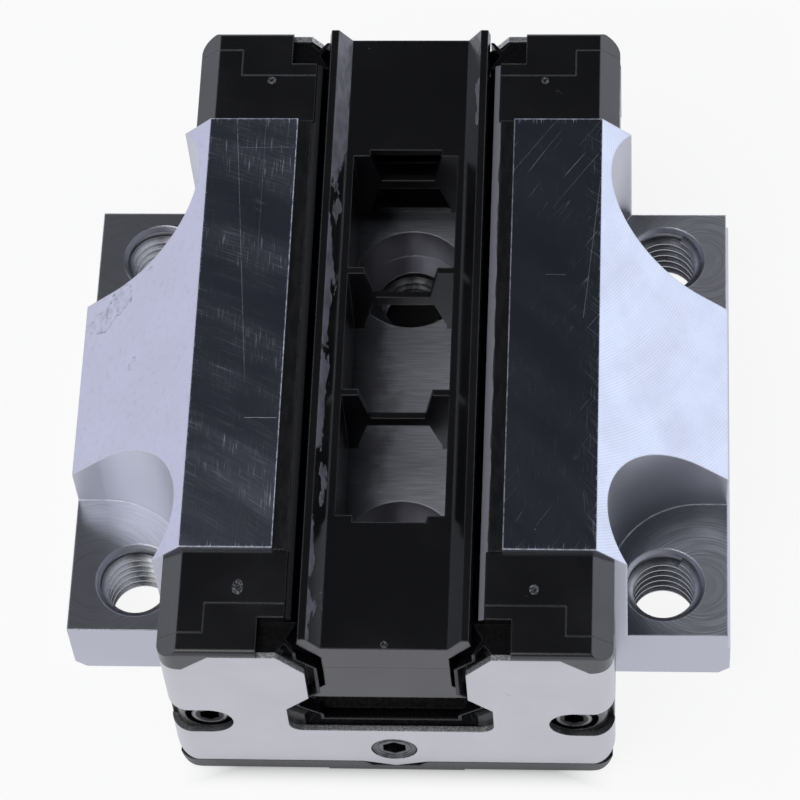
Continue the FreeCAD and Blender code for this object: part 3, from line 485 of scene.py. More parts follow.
# %% Body steel: colours of the flats, the floor and the holes
FLANGE_HOLE, CENTRE_HOLE = (36, 26), (0, 22)
# The right corner flats get brighter colours than the left ones: painted light from the right.
FLAT_LEFT = (0.43, 0.44, 0.49, 1.0), (0.5, 0.51, 0.57, 1.0)
FLAT_RIGHT = (0.55, 0.56, 0.61, 1.0), (0.88, 0.9, 0.98, 1.0)
FLOOR = (0.5, 0.51, 0.56, 1.0), (0.72, 0.73, 0.8, 1.0)
BORE = (0.27, 0.27, 0.3, 1.0), (0.5, 0.5, 0.54, 1.0)
BRIGHT, WALL_SHADE_COLOUR = (1.0, 1.0, 1.0, 1.0), (0.2, 0.21, 0.23, 1.0)
HOLE_RIM, FLOOR_SHADOW = (0.32, 0.32, 0.35, 1.0), (0.14, 0.14, 0.16, 1.0)
BARE_AND_GLINT, EDGE = (0.75, 0.76, 0.84, 1.0), (0.8, 0.81, 0.86, 1.0)

from_nose = soft(tree, ring, 1.5 * MM, 6 * MM, 0.25, 1.0)
turned = soft(tree, blend(tree, from_nose, 0.5, ring_lines), 0.35, 0.65)
right_flat = blend(tree, product(tree, slants, 0.5), blend(tree, turned, *FLAT_RIGHT), BRIGHT)
to_rear = soft(tree, y, -5 * MM, 5 * MM)
# The right corner flats are darkened towards the pocket wall: a painted shadow of the wall, stronger at the
# front.
painted_wall_shade = product(tree, right_half, soft(tree, ring, 6.5 * MM, 11.5 * MM), blend(tree, to_rear, 0.88, 0.6))
flat = blend(tree, painted_wall_shade, blend(tree, right_half, blend(tree, turned, *FLAT_LEFT), right_flat), WALL_SHADE_COLOUR)
# The rear corner flats are lightened towards white: painted light.
flat = blend(tree, product(tree, to_rear, 0.25), flat, BRIGHT)
colour = blend(tree, corner_flat, colour, flat)

from_hole = from_point(tree, wide, far, FLANGE_HOLE)
rim = product(tree, below(tree, from_hole, 5.7 * MM), below(tree, looks_z, LOOKS_UP))
colour = blend(tree, rim, colour, HOLE_RIM)
# The left part of the channel floor is darkened, with a ragged edge: the left wall's shadow, painted.
painted_floor_shadow = soft(tree, total(tree, x, product(tree, haze, 12 * MM)), 1.0 * MM, 4.5 * MM, 0.7, 0.0)
floor_colour = blend(tree, painted_floor_shadow, blend(tree, soft(tree, cross_lines, 0.3, 0.7), *FLOOR), FLOOR_SHADOW)
colour = blend(tree, channel_floor, colour, floor_colour)
# The centre holes' counterbores are painted darker, their upright walls most: painted shade in the recess.
from_bore = from_point(tree, x, far, CENTRE_HOLE)
bore = product(tree, below(tree, from_bore, 8.1 * MM), below(tree, z, 11.9 * MM))
colour = blend(tree, bore, colour, blend(tree, upright, *BORE))

# Scratches show bare steel, and the edge lines among the marks are painted highlights.
colour = blend(tree, leg_marks, colour, BARE_AND_GLINT)
rounded = round_edges(tree, 0.3 * MM)
plain = minus(tree, 1.0, highest(tree, leg_face, product(tree, rim, 0.8)))
edge_light = product(tree, edge_mask(tree, rounded), soft(tree, grit, 0.35, 0.6, 0.2, 0.6), plain)
feed(tree, shader["Base Color"], blend(tree, edge_light, colour, EDGE))
print("Flats, floor and holes coloured:", len(tree.nodes), "nodes")

# %% Body steel: sheen and relief
roughness = blend(tree, leg_face, 0.33, 0.2)
roughness = blend(tree, shoulder, roughness, 0.36)
roughness = blend(tree, corner_flat, roughness, blend(tree, right_half, 0.26, 0.36))
roughness = blend(tree, channel_floor, roughness, 0.45)
roughness = total(tree, roughness, product(tree, leg_marks, 0.35), product(tree, haze, 0.05))
feed(tree, shader["Roughness"], roughness)

height = total(
    tree,
    product(tree, ground_lines, leg_face, 0.3),
    product(tree, sweep_lines, shoulder, blend(tree, right_half, 0.08, 0.4)),
    product(tree, ring_lines, from_nose, corner_flat, blend(tree, right_half, 0.6, 2.2)),
    product(tree, cross_lines, channel_floor, 2.0),
    product(tree, wall_lines, upright, 0.2),
    product(tree, drip_inside, soft(tree, grit, 0.3, 0.7), 1.5),
)
relief(tree, shader, height, FINE, rounded)
dress(body_steel, "runner_body")
print("Steel finish with", len(tree.nodes), "nodes")

# %% [markdown]
# ## Hardened strips and balls
#
# The track inserts are ground and polished by running. Balls are chrome bright under patches of oil. Both sit
# deep in the channel and show only when the arbor is drawn out.

# %% Track and ball steel
track_steel, tree, shader = new_finish("track_steel", Metallic=1.0, Base_Color=(0.62, 0.62, 0.64, 1.0))
_, y, z = split(tree, place_of(tree))
ground = lines(tree, z, y, 0.3 * MM, 30 * MM)
feed(tree, shader["Roughness"], soft(tree, ground, 0.2, 0.8, 0.16, 0.3))
relief(tree, shader, ground, 0.004 * MM, round_edges(tree, 0.1 * MM))
dress(track_steel, "track_insert_right", "track_insert_left")

ball_steel, tree, shader = new_finish("ball_steel", Metallic=1.0, Base_Color=(0.75, 0.75, 0.77, 1.0))
oil = soft(tree, noise(tree, place_of(tree), 500.0, 3.0), 0.55, 0.63)
feed(tree, shader["Roughness"], blend(tree, oil, 0.08, 0.2))
print("Finishes for tracks and balls")

# %% [markdown]
# ## Moulded plastic
#
# Caps, carriers and the arbor are black moulded plastic with a soft gloss. What keeps them from looking like
# flat paint is small: a faint waviness from the mould, fine handling scratches, and the thin seam where the
# carrier is pushed into the cap. The seam is drawn from the sizes of the two pieces.

# %% Cap plastic
BLACK, CHIPPED = (0.0042, 0.0042, 0.005, 1.0), (0.16, 0.16, 0.17, 1.0)
SEAM_INNER, SEAM_OUTER, SEAM_SIDE = 41.5 * MM, 45.8 * MM, 23.4 * MM
SEAM = 0.1 * MM


def black_plastic(name, gloss, wave_scale, wave):
    finish, tree, shader = new_finish(name, IOR=1.7)
    where = place_of(tree)
    x, y, z = split(tree, where)
    diagonal = total(tree, x, product(tree, y, 0.8))
    other = minus(tree, y, product(tree, x, 0.6))
    fine = scratch_mask(tree, diagonal, other, 3 * MM, 20 * MM, 0.008, 0.36)
    chips = effect(tree, specks, {"Vector": where, "Scale": 330.0, "Size": 0.06, "Share": 0.12})
    marks = highest(tree, product(tree, fine, 0.5), chips)
    dust = noise(tree, where, 70.0, 5.0)
    colour = blend(tree, product(tree, marks, 0.3), BLACK, CHIPPED)
    rough = total(tree, gloss, product(tree, marks, 0.2), soft(tree, dust, 0.35, 0.75, -0.03, 0.07))
    height = total(tree, product(tree, noise(tree, where, wave_scale, 2.0), wave),
                   product(tree, noise(tree, where, 5000.0, 1.0), 0.04), product(tree, marks, -0.2))
    return finish, tree, shader, (x, y, z), colour, rough, height


cap_plastic, tree, shader, (x, y, _), colour, rough, height = black_plastic("cap_plastic", 0.24, 250.0, 1.0)
wide, far = size_of(tree, x), size_of(tree, y)
seam = highest(
    tree,
    product(tree, line_mask(tree, far, SEAM_OUTER, SEAM), above(tree, wide, SEAM_SIDE)),
    product(tree, line_mask(tree, far, SEAM_INNER, SEAM), below(tree, wide, SEAM_SIDE)),
    product(tree, line_mask(tree, wide, SEAM_SIDE, SEAM), within(tree, far, SEAM_INNER, SEAM_OUTER)))
feed(tree, shader["Base Color"], colour)
feed(tree, shader["Roughness"], rough)
relief(tree, shader, total(tree, height, product(tree, seam, -0.6)), FINE, round_edges(tree, 0.3 * MM))
dress(cap_plastic, "end_cap_front", "end_cap_rear", "seal_carrier_front", "seal_carrier_rear")
print("Cap plastic with", len(tree.nodes), "nodes")

# %% [markdown]
# ## Greasy arbor
#
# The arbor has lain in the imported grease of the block. On its inner walls the grease lies in irregular patches
# that throw back the white of the studio, thickest at the rear. It gets the same black plastic, with a
# smeared film whose height tilts the reflections.

# %% Arbor plastic
arbor_plastic, tree, shader, (x, y, z), colour, rough, height = black_plastic("arbor_plastic", 0.2, 180.0, 1.2)
wide = size_of(tree, x)
on_slope = product(tree, above(tree, z, 31 * MM), within(tree, wide, 7.0 * MM, 10.3 * MM),
                   above(tree, size_of(tree, facing(tree)[0]), 0.3))
pools = flat_noise(tree, product(tree, x, 480.0), product(tree, y, 110.0), 5.0)
lean = total(
    tree, soft(tree, wide, 8.2 * MM, 10 * MM, -0.13, 0.06), soft(tree, y, 24 * MM, 42 * MM, 0.0, 0.25),
    soft(tree, y, -46 * MM, -28 * MM, 0.08, 0.0), soft(tree, x, -2 * MM, 2 * MM, 0.0, -0.24))
film = product(tree, soft(tree, total(tree, pools, lean), 0.5, 0.52), on_slope)
smears = flat_noise(tree, product(tree, x, 1300.0), product(tree, y, 380.0), 4.0, 6.0)
smears = soft(tree, smears, 0.35, 0.65)
smear_colour = blend(tree, smears, (0.085, 0.085, 0.105, 1.0), (0.15, 0.15, 0.18, 1.0))
feed(tree, shader["Base Color"], blend(tree, film, colour, smear_colour))
feed(tree, shader["Roughness"], blend(tree, film, rough, 0.28))
thick = product(tree, film, soft(tree, smears, 0.0, 1.0, 4.5, 7.0))
relief(tree, shader, total(tree, height, thick), FINE, round_edges(tree, 0.25 * MM))
dress(arbor_plastic, "transport_arbor")
print("Arbor plastic with", len(tree.nodes), "nodes")

# %% [markdown]
# ## Strips, guides and seals
#
# The long lip strips are black and greasy, and along the lip on the right a pale band is painted into their
# colour as a reflection on the greasy film. The guides are plain moulded plastic. The end seals are soft rubber
# with a fine skin, and paler edges that are worn in part and in part a painted highlight.

# %% Strip plastic
LIP_EDGE = 13.35 * MM

strip_plastic, tree, shader = new_finish("strip_plastic", IOR=1.7)
x, y, z = split(tree, place_of(tree))
ragged = flat_noise(tree, product(tree, x, 900.0), product(tree, y, 260.0), 4.0)
on_lip = product(tree, within(tree, facing(tree)[2], 0.5, 0.95), above(tree, z, 33.5 * MM))
inside_lip = total(tree, size_of(tree, x), product(tree, ragged, 0.6 * MM))
film = product(tree, on_lip, soft(tree, inside_lip, LIP_EDGE, LIP_EDGE + 0.1 * MM, 1.0, 0.0))
# Along the lip on the right the film's colour is pale: a painted reflection; on the left it stays nearly black.
painted_lip_sheen = blend(tree, above(tree, x, 0.0), (0.012, 0.012, 0.014, 1.0), (0.2, 0.2, 0.235, 1.0))
feed(tree, shader["Base Color"], blend(tree, film, (0.0045, 0.0045, 0.0055, 1.0), painted_lip_sheen))
feed(tree, shader["Roughness"], blend(tree, film, soft(tree, ragged, 0.3, 0.7, 0.22, 0.32), 0.34))
relief(tree, shader, total(tree, film, product(tree, ragged, 0.6)), FINE, round_edges(tree, 0.15 * MM))
dress(strip_plastic, "side_seal_right", "side_seal_left")
print("Strip plastic with", len(tree.nodes), "nodes")

# %% Guide plastic and rubber
guide_plastic, tree, shader = new_finish("guide_plastic")
grain = noise(tree, place_of(tree), 2500.0, 2.0)
feed(tree, shader["Base Color"], blend(tree, grain, (0.02, 0.02, 0.022, 1.0), (0.045, 0.045, 0.05, 1.0)))
feed(tree, shader["Roughness"], soft(tree, grain, 0.3, 0.7, 0.35, 0.5))
relief(tree, shader, grain, 0.005 * MM, round_edges(tree, 0.1 * MM))
dress(guide_plastic, "ball_guide_right", "ball_guide_left", "floor_guide_right", "floor_guide_left",
      "turn_guides_front", "turn_guides_rear")

seal_rubber, tree, shader = new_finish("seal_rubber", IOR=1.3)
skin = noise(tree, place_of(tree), 1800.0, 3.0)
rounded = round_edges(tree, 0.25 * MM)
# The rubber's edges are paler: worn in part, and in part a painted highlight.
edge_wear_and_glint = product(tree, edge_mask(tree, rounded), 0.35)
colour = blend(tree, skin, (0.003, 0.003, 0.003, 1.0), (0.008, 0.008, 0.009, 1.0))
feed(tree, shader["Base Color"], blend(tree, edge_wear_and_glint, colour, (0.09, 0.09, 0.1, 1.0)))
feed(tree, shader["Roughness"], soft(tree, skin, 0.3, 0.7, 0.2, 0.3))
relief(tree, shader, skin, 0.004 * MM, rounded)
dress(seal_rubber, "end_seal_front", "end_seal_rear")
print("Guides and seals")

# %% [markdown]
# ## Sheet steel and screws
#
# The end plates are thin satin sheet: rolled along their width and a little scratched, with torn sheared edges
# that are painted dark beside the screws, as shade in the slots. The screws and the lubrication plugs are plain
# stained steel. A screw's head has its socket painted dark, as shade in the hex recess, with a worn, brighter
# ring round it.

# %% Plate steel
plate_steel, tree, shader = new_finish("plate_steel", Metallic=1.0)
where = place_of(tree)
x, _, z = split(tree, where)
_, looks_y, looks_z = facing(tree)
rolled = lines(tree, z, x, 0.2 * MM, 30 * MM)
fine = scratch_mask(tree, total(tree, z, product(tree, x, 0.7)), x, 2 * MM, 12 * MM, 0.02, 0.4)
cloud = noise(tree, where, 120.0, 4.0)
torn = noise(tree, where, 4200.0, 2.0)
sheared = product(tree, below(tree, size_of(tree, looks_y), 0.05), above(tree, size_of(tree, looks_z), 0.3))
colour = blend(tree, soft(tree, cloud, 0.3, 0.7), (0.54, 0.54, 0.56, 1.0), (0.59, 0.59, 0.61, 1.0))
colour = blend(tree, product(tree, fine, 0.3), colour, (0.38, 0.38, 0.4, 1.0))
torn_edge_and_slot_shade = blend(tree, soft(tree, torn, 0.4, 0.65), (0.3, 0.3, 0.305, 1.0), (0.62, 0.62, 0.63, 1.0))
# Beside the screws the sheared edges lie in the slots and are painted dark: painted shade.
by_screw = product(tree, soft(tree, size_of(tree, x), 16 * MM, 18 * MM, 0.0, 0.75), below(tree, z, 20 * MM))
torn_edge_and_slot_shade = blend(tree, by_screw, torn_edge_and_slot_shade, (0.06, 0.06, 0.065, 1.0))
feed(tree, shader["Base Color"], blend(tree, sheared, colour, torn_edge_and_slot_shade))
rough = total(tree, soft(tree, cloud, 0.3, 0.7, 0.28, 0.36), product(tree, fine, 0.12))
feed(tree, shader["Roughness"], blend(tree, sheared, rough, 0.5))
height = total(tree, product(tree, rolled, 0.3), product(tree, fine, -0.3), product(tree, sheared, torn, 3.0))
relief(tree, shader, height, FINE, round_edges(tree, 0.2 * MM))
dress(plate_steel, "end_plate_front", "end_plate_rear")
print("Plate steel with", len(tree.nodes), "nodes")

# %% Screw steel
SCREW_AXIS = (24.2, 14.6)
SOCKET, SOCKET_RING = 1.75 * MM, 2.1 * MM

screw_steel, tree, shader = new_finish("screw_steel", Metallic=1.0)
where = place_of(tree)
x, _, z = split(tree, where)
stain = noise(tree, where, 900.0, 3.0)
from_axis = from_point(tree, size_of(tree, x), z, SCREW_AXIS)
colour = blend(tree, stain, (0.08, 0.08, 0.085, 1.0), (0.2, 0.2, 0.21, 1.0))
# The socket is painted dark: painted shade in the hex recess.
socket = soft(tree, from_axis, SOCKET, SOCKET + 0.2 * MM, 1.0, 0.0)
colour = blend(tree, socket, colour, (0.025, 0.025, 0.027, 1.0))
colour = blend(tree, line_mask(tree, from_axis, SOCKET_RING, 0.25 * MM), colour, (0.32, 0.32, 0.33, 1.0))
feed(tree, shader["Base Color"], colour)
feed(tree, shader["Roughness"], soft(tree, stain, 0.3, 0.7, 0.24, 0.4))
relief(tree, shader, stain, 2 * FINE, round_edges(tree, 0.2 * MM))
dress(screw_steel, "plate_screws_front", "plate_screws_rear", "lube_plug_front", "lube_plug_rear")
print("Screw steel with", len(tree.nodes), "nodes")

# %% [markdown]
# ## Threads
#
# The four flange holes and the two centre holes are tapped M10. A thread is a ridge that climbs round the wall:
# a small square is narrowed to a tooth, and the Screw modifier turns it about the hole's axis while it climbs.
# The tooth's root reaches a little into the wall, so that no gap shows. The root is darker, with dirt and with
# painted shade, and the crest is bare, so the finish darkens with the distance from the hole's axis.

# %% Thread steel
thread_steel, tree, shader = new_finish("thread_steel", Metallic=1.0)
where = place_of(tree)
x, y, _ = split(tree, where)
far = size_of(tree, y)
stain = noise(tree, where, 700.0, 3.0)
from_axis = calc(tree, "MINIMUM", from_point(tree, size_of(tree, x), far, FLANGE_HOLE),
                 from_point(tree, x, far, CENTRE_HOLE))
# Darker towards the root: dirt and painted shade together.
root_dirt_and_shade = soft(tree, from_axis, 4.4 * MM, 4.85 * MM)
colour = blend(tree, stain, (0.38, 0.385, 0.4, 1.0), (0.52, 0.525, 0.54, 1.0))
feed(tree, shader["Base Color"], blend(tree, root_dirt_and_shade, colour, (0.19, 0.19, 0.2, 1.0)))
feed(tree, shader["Roughness"], soft(tree, stain, 0.3, 0.7, 0.24, 0.34))
print("Thread steel with", len(tree.nodes), "nodes")

# %% Threads
PITCH = 1.5 * MM
STEPS_PER_TURN = 40
THREAD_ROOT, THREAD_CREST = 5.03 * MM, 4.25 * MM
TOOTH_ROOT, TOOTH_CREST = 1.3 * MM, 0.2 * MM
TAP_FROM, FLANGE_TAP_TO, CENTRE_TAP_TO = 0.75 * MM, 10.0 * MM, 5.1 * MM
SIDES = ((1, "right"), (-1, "left"))
ENDS = ((-1, "front"), (1, "rear"))


def finish_piece(piece, finish, body="block"):
    """Put the piece's place into its mesh, give it a finish and let it ride."""
    bpy.ops.object.transform_apply(location=True, rotation=True, scale=True)
    piece.data.materials.clear()
    piece.data.materials.append(finish)
    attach(piece, body)


def thread(name, centre, low, high):
    bpy.ops.mesh.primitive_plane_add(size=1, location=(*centre, low))
    piece = bpy.context.object
    piece.name = name
    turns = (high - low) / PITCH
    bpy.ops.object.mode_set(mode="EDIT")
    bpy.ops.mesh.delete(type="ONLY_FACE")
    bpy.ops.object.mode_set(mode="OBJECT")
    for corner in piece.data.vertices:
        crest = corner.co.x < 0
        half = TOOTH_CREST / 2 if crest else TOOTH_ROOT / 2
        corner.co = (THREAD_CREST if crest else THREAD_ROOT, 0, math.copysign(half, corner.co.y))
    screw = piece.modifiers.new("climb", "SCREW")
    screw.angle = 2 * math.pi * turns
    screw.screw_offset = high - low
    screw.steps = screw.render_steps = int(STEPS_PER_TURN * turns)
    screw.use_merge_vertices = False
    bpy.ops.object.modifier_apply(modifier="climb")
    bpy.ops.object.mode_set(mode="EDIT")
    bpy.ops.mesh.select_all(action="DESELECT")
    bpy.ops.mesh.select_non_manifold()
    bpy.ops.mesh.edge_face_add()
    bpy.ops.mesh.select_all(action="SELECT")
    bpy.ops.mesh.normals_make_consistent(inside=False)
    bpy.ops.object.mode_set(mode="OBJECT")
    bpy.ops.object.shade_smooth_by_angle(angle=math.radians(30))
    return piece


holes = {}
for side, hand in SIDES:
    for end, where_at in ENDS:
        centre = (side * FLANGE_HOLE[0] * MM, end * FLANGE_HOLE[1] * MM)
        holes[f"thread_{where_at}_{hand}"] = (centre, TAP_FROM, FLANGE_TAP_TO)
for end, where_at in ENDS:
    holes[f"thread_centre_{where_at}"] = ((0.0, end * CENTRE_HOLE[1] * MM), TAP_FROM, CENTRE_TAP_TO)
for name, (centre, low, high) in holes.items():
    bpy.ops.object.select_all(action="DESELECT")
    finish_piece(thread(name, centre, low, high), thread_steel)
print(len(holes), "threads,", len(bpy.context.object.data.polygons), "faces in the last")

# %% [markdown]
# ## Lips of the end seals
#
# The CAD seal is a flat frame with a slot between its two lips. The real rubber lip leans forward: seen from
# the front, a dark groove runs inside the plate's window, and then the pale crest of the lip. A grid is laid
# along the rail's outline, each of its rows at one inset and one depth of the section, and mirrored to the
# other half. All sizes here are in mm.

# %% Seal lips
SEAL_HALF, SEAL_FOOT, SEAL_TOP = 16.4, 10.3, 33.3
RAIL_HEAD, RAIL_WAIST, RAIL_NOSE, RAIL_FLARE = 12.6, 10.45, 13.5, 12.9
OUTLINE_HEIGHTS = (15.2, 17.6, 19.2, 21.6, 28.9, 31.4)
OUTLINE_WIDTHS = (
    RAIL_WAIST, RAIL_WAIST, RAIL_NOSE, RAIL_NOSE, RAIL_WAIST, RAIL_WAIST, RAIL_FLARE, RAIL_FLARE)
OUTLINE_STEPS = len(OUTLINE_WIDTHS)
SECTION = (
    (None, 48.0), (-1.1, 48.0), (0.0, 46.6), (1.15, 47.95), (1.55, 47.95), (0.7, 46.5), (0.2, 45.75),
    (0.7, 45.0), (1.5, 43.55), (1.1, 43.5), (None, 43.5), (None, 48.0))
MERGE = 0.01 * MM


def outline_point(index, inset):
    """A point of the rail's outline, from the middle of its head up to the flare, or of the outer frame."""
    low = SEAL_FOOT if inset is None else RAIL_HEAD + inset
    rise = (low, low, *OUTLINE_HEIGHTS, SEAL_TOP)[index]
    if index == 0:
        return 0.0, rise
    return (SEAL_HALF if inset is None else OUTLINE_WIDTHS[index - 1] - inset), rise


bpy.ops.object.select_all(action="DESELECT")
bpy.ops.mesh.primitive_grid_add(x_subdivisions=OUTLINE_STEPS, y_subdivisions=len(SECTION) - 1, size=1)
seal = bpy.context.object
seal.name = "seal_lips_front"
for corner in seal.data.vertices:
    index = round((corner.co.x + 0.5) * OUTLINE_STEPS)
    inset, depth = SECTION[round((corner.co.y + 0.5) * (len(SECTION) - 1))]
    across, rise = outline_point(index, inset)
    corner.co = (across * MM, -depth * MM, rise * MM)
mirror = seal.modifiers.new("other_half", "MIRROR")
mirror.merge_threshold = MERGE
bpy.ops.object.modifier_apply(modifier="other_half")
bpy.ops.object.mode_set(mode="EDIT")
bpy.ops.mesh.select_all(action="SELECT")
bpy.ops.mesh.remove_doubles(threshold=MERGE)
bpy.ops.mesh.fill_holes(sides=0)
bpy.ops.mesh.normals_make_consistent(inside=False)
bpy.ops.object.mode_set(mode="OBJECT")
bpy.ops.object.shade_smooth_by_angle(angle=math.radians(25))
bpy.ops.object.duplicate()
rear_seal = bpy.context.object
rear_seal.name = "seal_lips_rear"
rear_seal.rotation_euler.z = math.pi
for piece, end in ((seal, "front"), (rear_seal, "rear")):
    bpy.ops.object.select_all(action="DESELECT")
    bpy.context.view_layer.objects.active = piece
    piece.select_set(True)
    finish_piece(piece, seal_rubber)
    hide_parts(f"end_seal_{end}")
print("Seal lips with", len(seal.data.polygons), "faces each")

# %% [markdown]
# ## Gate marks and burrs
#
# Where the molten plastic entered a cap, a small torn stub is left on its top, and one on the arbor's front
# edge. Each is a disc drawn up into a low crater and stretched along the block, and then its points are shaken
# a little. Torn plastic is paler in crumbs. The lubrication plugs were peened in place, which left two ragged
# rings of metal round the socket.

# %% Gate marks
CAP_TOP, ARBOR_TOP = 34.58 * MM, 32.68 * MM
CRATER = ((0.16, 0.8), (0.0, 0.6), (-0.14, 0.7))
STUBS = (
    ("front_left", -19.2, -39.1, 0.75, 1.6), ("front_right", 19.2, -39.1, 0.65, 1.25),
    ("rear_left", -19.1, 40.6, 0.65, 1.0), ("rear_right", 19.1, 40.6, 0.6, 1.0))

torn_plastic, tree, shader = new_finish("torn_plastic", IOR=1.7)
crumbs = noise(tree, place_of(tree), 3600.0, 2.0)
feed(tree, shader["Base Color"], blend(
    tree, soft(tree, crumbs, 0.48, 0.66), (0.006, 0.006, 0.007, 1.0), (0.22, 0.22, 0.24, 1.0)))
feed(tree, shader["Roughness"], soft(tree, crumbs, 0.3, 0.7, 0.25, 0.5))
relief(tree, shader, crumbs, 6 * FINE, round_edges(tree, 0.1 * MM))


def stub(name, place, radius, stretch, body, seed):
    bpy.ops.object.select_all(action="DESELECT")
    bpy.ops.mesh.primitive_circle_add(vertices=14, radius=radius, fill_type="NGON", location=place)
    piece = bpy.context.object
    piece.name = name
    bpy.ops.object.mode_set(mode="EDIT")
    for rise, scale in CRATER:
        bpy.ops.mesh.extrude_region_move(TRANSFORM_OT_translate={"value": (0, 0, rise * MM)})
        bpy.ops.transform.resize(value=(scale, scale, 1))
    bpy.ops.mesh.select_all(action="SELECT")
    bpy.ops.transform.resize(value=(1, stretch, 1))
    bpy.ops.transform.vertex_random(offset=0.07 * MM, seed=seed)
    bpy.ops.mesh.normals_make_consistent(inside=False)
    bpy.ops.object.mode_set(mode="OBJECT")
    finish_piece(piece, torn_plastic, body)


for seed, (corner, x_at, y_at, radius, stretch) in enumerate(STUBS):
    place = (x_at * MM, y_at * MM, CAP_TOP)
    stub(f"gate_mark_{corner}", place, radius * MM, stretch, "block", seed)
stub("gate_mark_arbor", (0.0, -46.3 * MM, ARBOR_TOP), 0.55 * MM, 1.0, "arbor", 7)
print("Gate marks:", len(STUBS) + 1)

# %% Burrs round the plugs
PLUG_HEIGHT, PLUG_FACE = 6.5 * MM, 48.66 * MM
BURR_RADII = (2.25 * MM, 2.75 * MM)

for end, where_at in ENDS:
    bpy.ops.object.select_all(action="DESELECT")
    rings = []
    for radius in BURR_RADII:
        bpy.ops.mesh.primitive_torus_add(
            location=(0, end * PLUG_FACE, PLUG_HEIGHT), rotation=(math.pi / 2, 0, 0), major_radius=radius,
            minor_radius=0.13 * MM, major_segments=36, minor_segments=6)
        bpy.ops.object.mode_set(mode="EDIT")
        bpy.ops.transform.vertex_random(offset=0.05 * MM, seed=int(radius / MM))
        bpy.ops.object.mode_set(mode="OBJECT")
        rings.append(bpy.context.object)
    for ring_piece in rings:
        ring_piece.select_set(True)
    bpy.ops.object.join()
    burrs = bpy.context.object
    burrs.name = f"plug_burr_{where_at}"
    finish_piece(burrs, screw_steel)
print("Burrs with", len(burrs.data.polygons), "faces each")

# %% [markdown]
# ## Balls
#
# The CAD model carries flat-faced balls to stay light. Here they become round: one small sphere per ball,
# placed along the two straight runs and the two turns of each circuit, and joined to one piece per circuit.

# %% Balls
BALL = 5.556 / 2 * MM
PITCH_ALONG = 5.6 * MM
TRACK = Vector((12.7, 0, 4.2)) * MM
LANE = Vector((20.2, 0, 8.5)) * MM
NOSE = 18.4 * MM


def ball_centres(side, rise):
    track, lane = [Vector((side * spot.x, 0, NOSE + rise * spot.z)) for spot in (TRACK, LANE)]
    middle, outward = (track + lane) / 2, (lane - track).normalized()
    radius = (lane - track).length / 2
    half_step = math.asin(PITCH_ALONG / 2 / radius)
    reach = radius * math.cos(half_step)
    aside = radius * (1 - math.sin(half_step))
    room = math.sqrt(PITCH_ALONG ** 2 - aside ** 2) - reach
    count = int((2 * BODY_END - 2 * room) / PITCH_ALONG) + 1
    centres = []
    for line in (track, lane):
        centres += [line + Vector((0, (index - (count - 1) / 2) * PITCH_ALONG, 0)) for index in range(count)]
    for way in (1, -1):
        for half in (1, -1):
            across = outward * half * radius * math.sin(half_step)
            centres.append(middle + across + Vector((0, way * (BODY_END + reach), 0)))
    return centres


for side, hand in SIDES:
    for rise, level in ((-1, "upper"), (1, "lower")):
        bpy.ops.object.select_all(action="DESELECT")
        balls = []
        for centre in ball_centres(side, rise):
            bpy.ops.mesh.primitive_ico_sphere_add(subdivisions=2, radius=BALL, location=centre)
            balls.append(bpy.context.object)
        for ball in balls:
            ball.select_set(True)
        bpy.ops.object.join()
        circuit = bpy.context.object
        circuit.name = f"balls_{hand}_{level}"
        bpy.ops.object.shade_smooth()
        finish_piece(circuit, ball_steel)
        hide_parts(f"ball_circuit_{hand}_{level}")
print("Balls per circuit:", len(balls))

# %% [markdown]
# ## Studio
#
# The photo was taken on a white table with light from all round and a dark ceiling: upright and sloping faces
# are pale, while level faces mirror the dark part above and behind. The world is bright near the horizon, more
# so on the right, and falls off to dark overhead. The floor is white to the camera and in reflections, and keeps
# a soft shadow. Under the middle of the block, where only the centre holes show it, a dark shadow is painted
# into the floor's colour. Two soft boxes, a large one from the upper left and a small one from the top, give the
# walls and rims their light.

# %% Floor
WHITE, ROOM_WHITE = (1.0, 1.0, 1.0, 1.0), (0.87, 0.9, 1.0, 1.0)

bpy.ops.object.select_all(action="DESELECT")
bpy.ops.mesh.primitive_plane_add(size=4, location=(0, 0, -0.1 * MM))
floor = bpy.context.object
floor.name = "studio_floor"
floor_white = bpy.data.materials.new("floor_white")
floor_white.use_nodes = True
tree = floor_white.node_tree
tree.nodes.remove(tree.nodes["Principled BSDF"])
path = add(tree, "ShaderNodeLightPath").outputs
tint = blend(tree, path["Is Camera Ray"], (0.93, 0.935, 1.0, 1.0), WHITE)
glow = add(tree, "ShaderNodeEmission", {"Color": tint, "Strength": 1.0}).outputs[0]
seen = highest(tree, path["Is Camera Ray"], path["Is Glossy Ray"], path["Is Transmission Ray"])
x, y, _ = split(tree, place_of(tree))
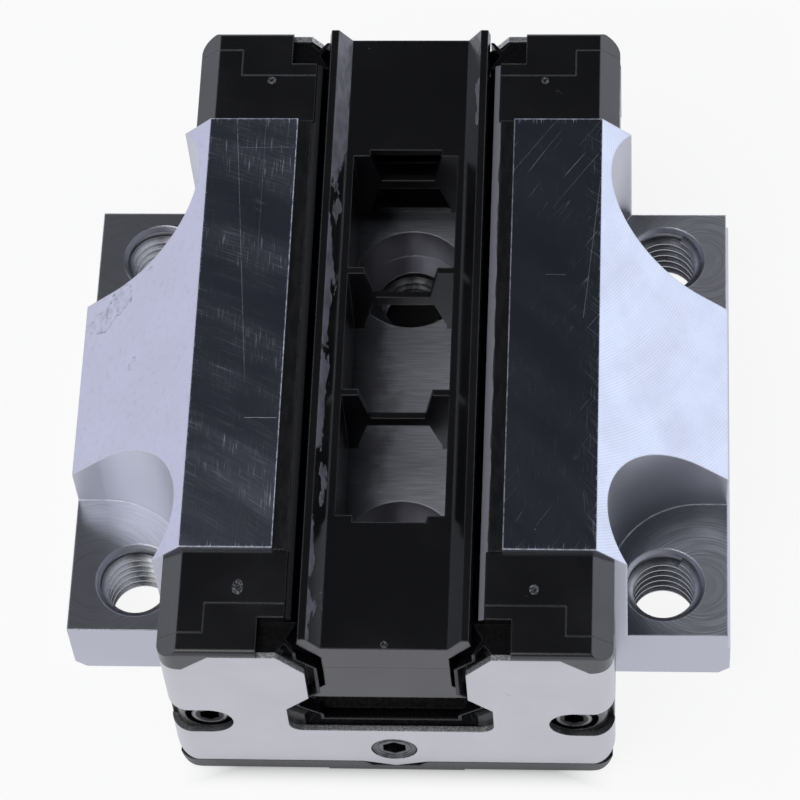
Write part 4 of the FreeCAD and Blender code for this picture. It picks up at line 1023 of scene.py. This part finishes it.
# Under the middle of the block the floor's colour is painted dark: a painted shadow.
aside = highest(tree, soft(tree, size_of(tree, x), 14 * MM, 30 * MM),
                soft(tree, size_of(tree, y), 46 * MM, 52 * MM))
shade = blend(tree, aside, (0.03, 0.03, 0.03, 1.0), (0.86, 0.86, 0.86, 1.0))
paint = add(tree, "ShaderNodeBsdfDiffuse", {"Color": shade}).outputs[0]
surface = add(tree, "ShaderNodeMixShader")
feed(tree, surface.inputs[0], product(tree, seen, aside, 0.9))
feed(tree, surface.inputs[1], paint)
feed(tree, surface.inputs[2], glow)
tree.links.new(surface.outputs[0], tree.nodes["Material Output"].inputs["Surface"])
floor.data.materials.append(floor_white)
print("Floor with", len(tree.nodes), "nodes")

# %% Light of the room
world = bpy.data.worlds.new("studio")
bpy.context.scene.world = world
world.use_nodes = True
tree = world.node_tree
background = tree.nodes["Background"].inputs
to_side, _, upward = split(tree, add(tree, "ShaderNodeTexCoord").outputs["Generated"])
strength = product(
    tree, soft(tree, upward, 0.24, 0.62, 1.0, 0.045), soft(tree, to_side, -0.6, 0.6, 1.15, 1.5))
to_lens = add(tree, "ShaderNodeLightPath").outputs["Is Camera Ray"]
feed(tree, background["Color"], blend(tree, to_lens, ROOM_WHITE, WHITE))
feed(tree, background["Strength"], blend(tree, to_lens, strength, 1.0))
print("Room light with", len(tree.nodes), "nodes")

# %% Soft boxes
AIM = Vector((0, 0, 0.02))


def softbox(name, place, size, watts):
    light = bpy.data.lights.new(name, "AREA")
    light.shape = "RECTANGLE"
    light.size, light.size_y = size
    light.energy = watts
    lamp = bpy.data.objects.new(name, light)
    bpy.context.scene.collection.objects.link(lamp)
    lamp.location = place
    lamp.rotation_euler = (AIM - Vector(place)).to_track_quat("-Z", "Y").to_euler()
    return lamp


lamps = [
    softbox("upper_left_box", (-0.46, -0.24, 0.76), (0.85, 0.6), 3.2),
    softbox("top_box", (-0.16, -0.1, 0.86), (0.34, 0.34), 0.9),
]
print("Lamps:", [lamp.name for lamp in lamps])
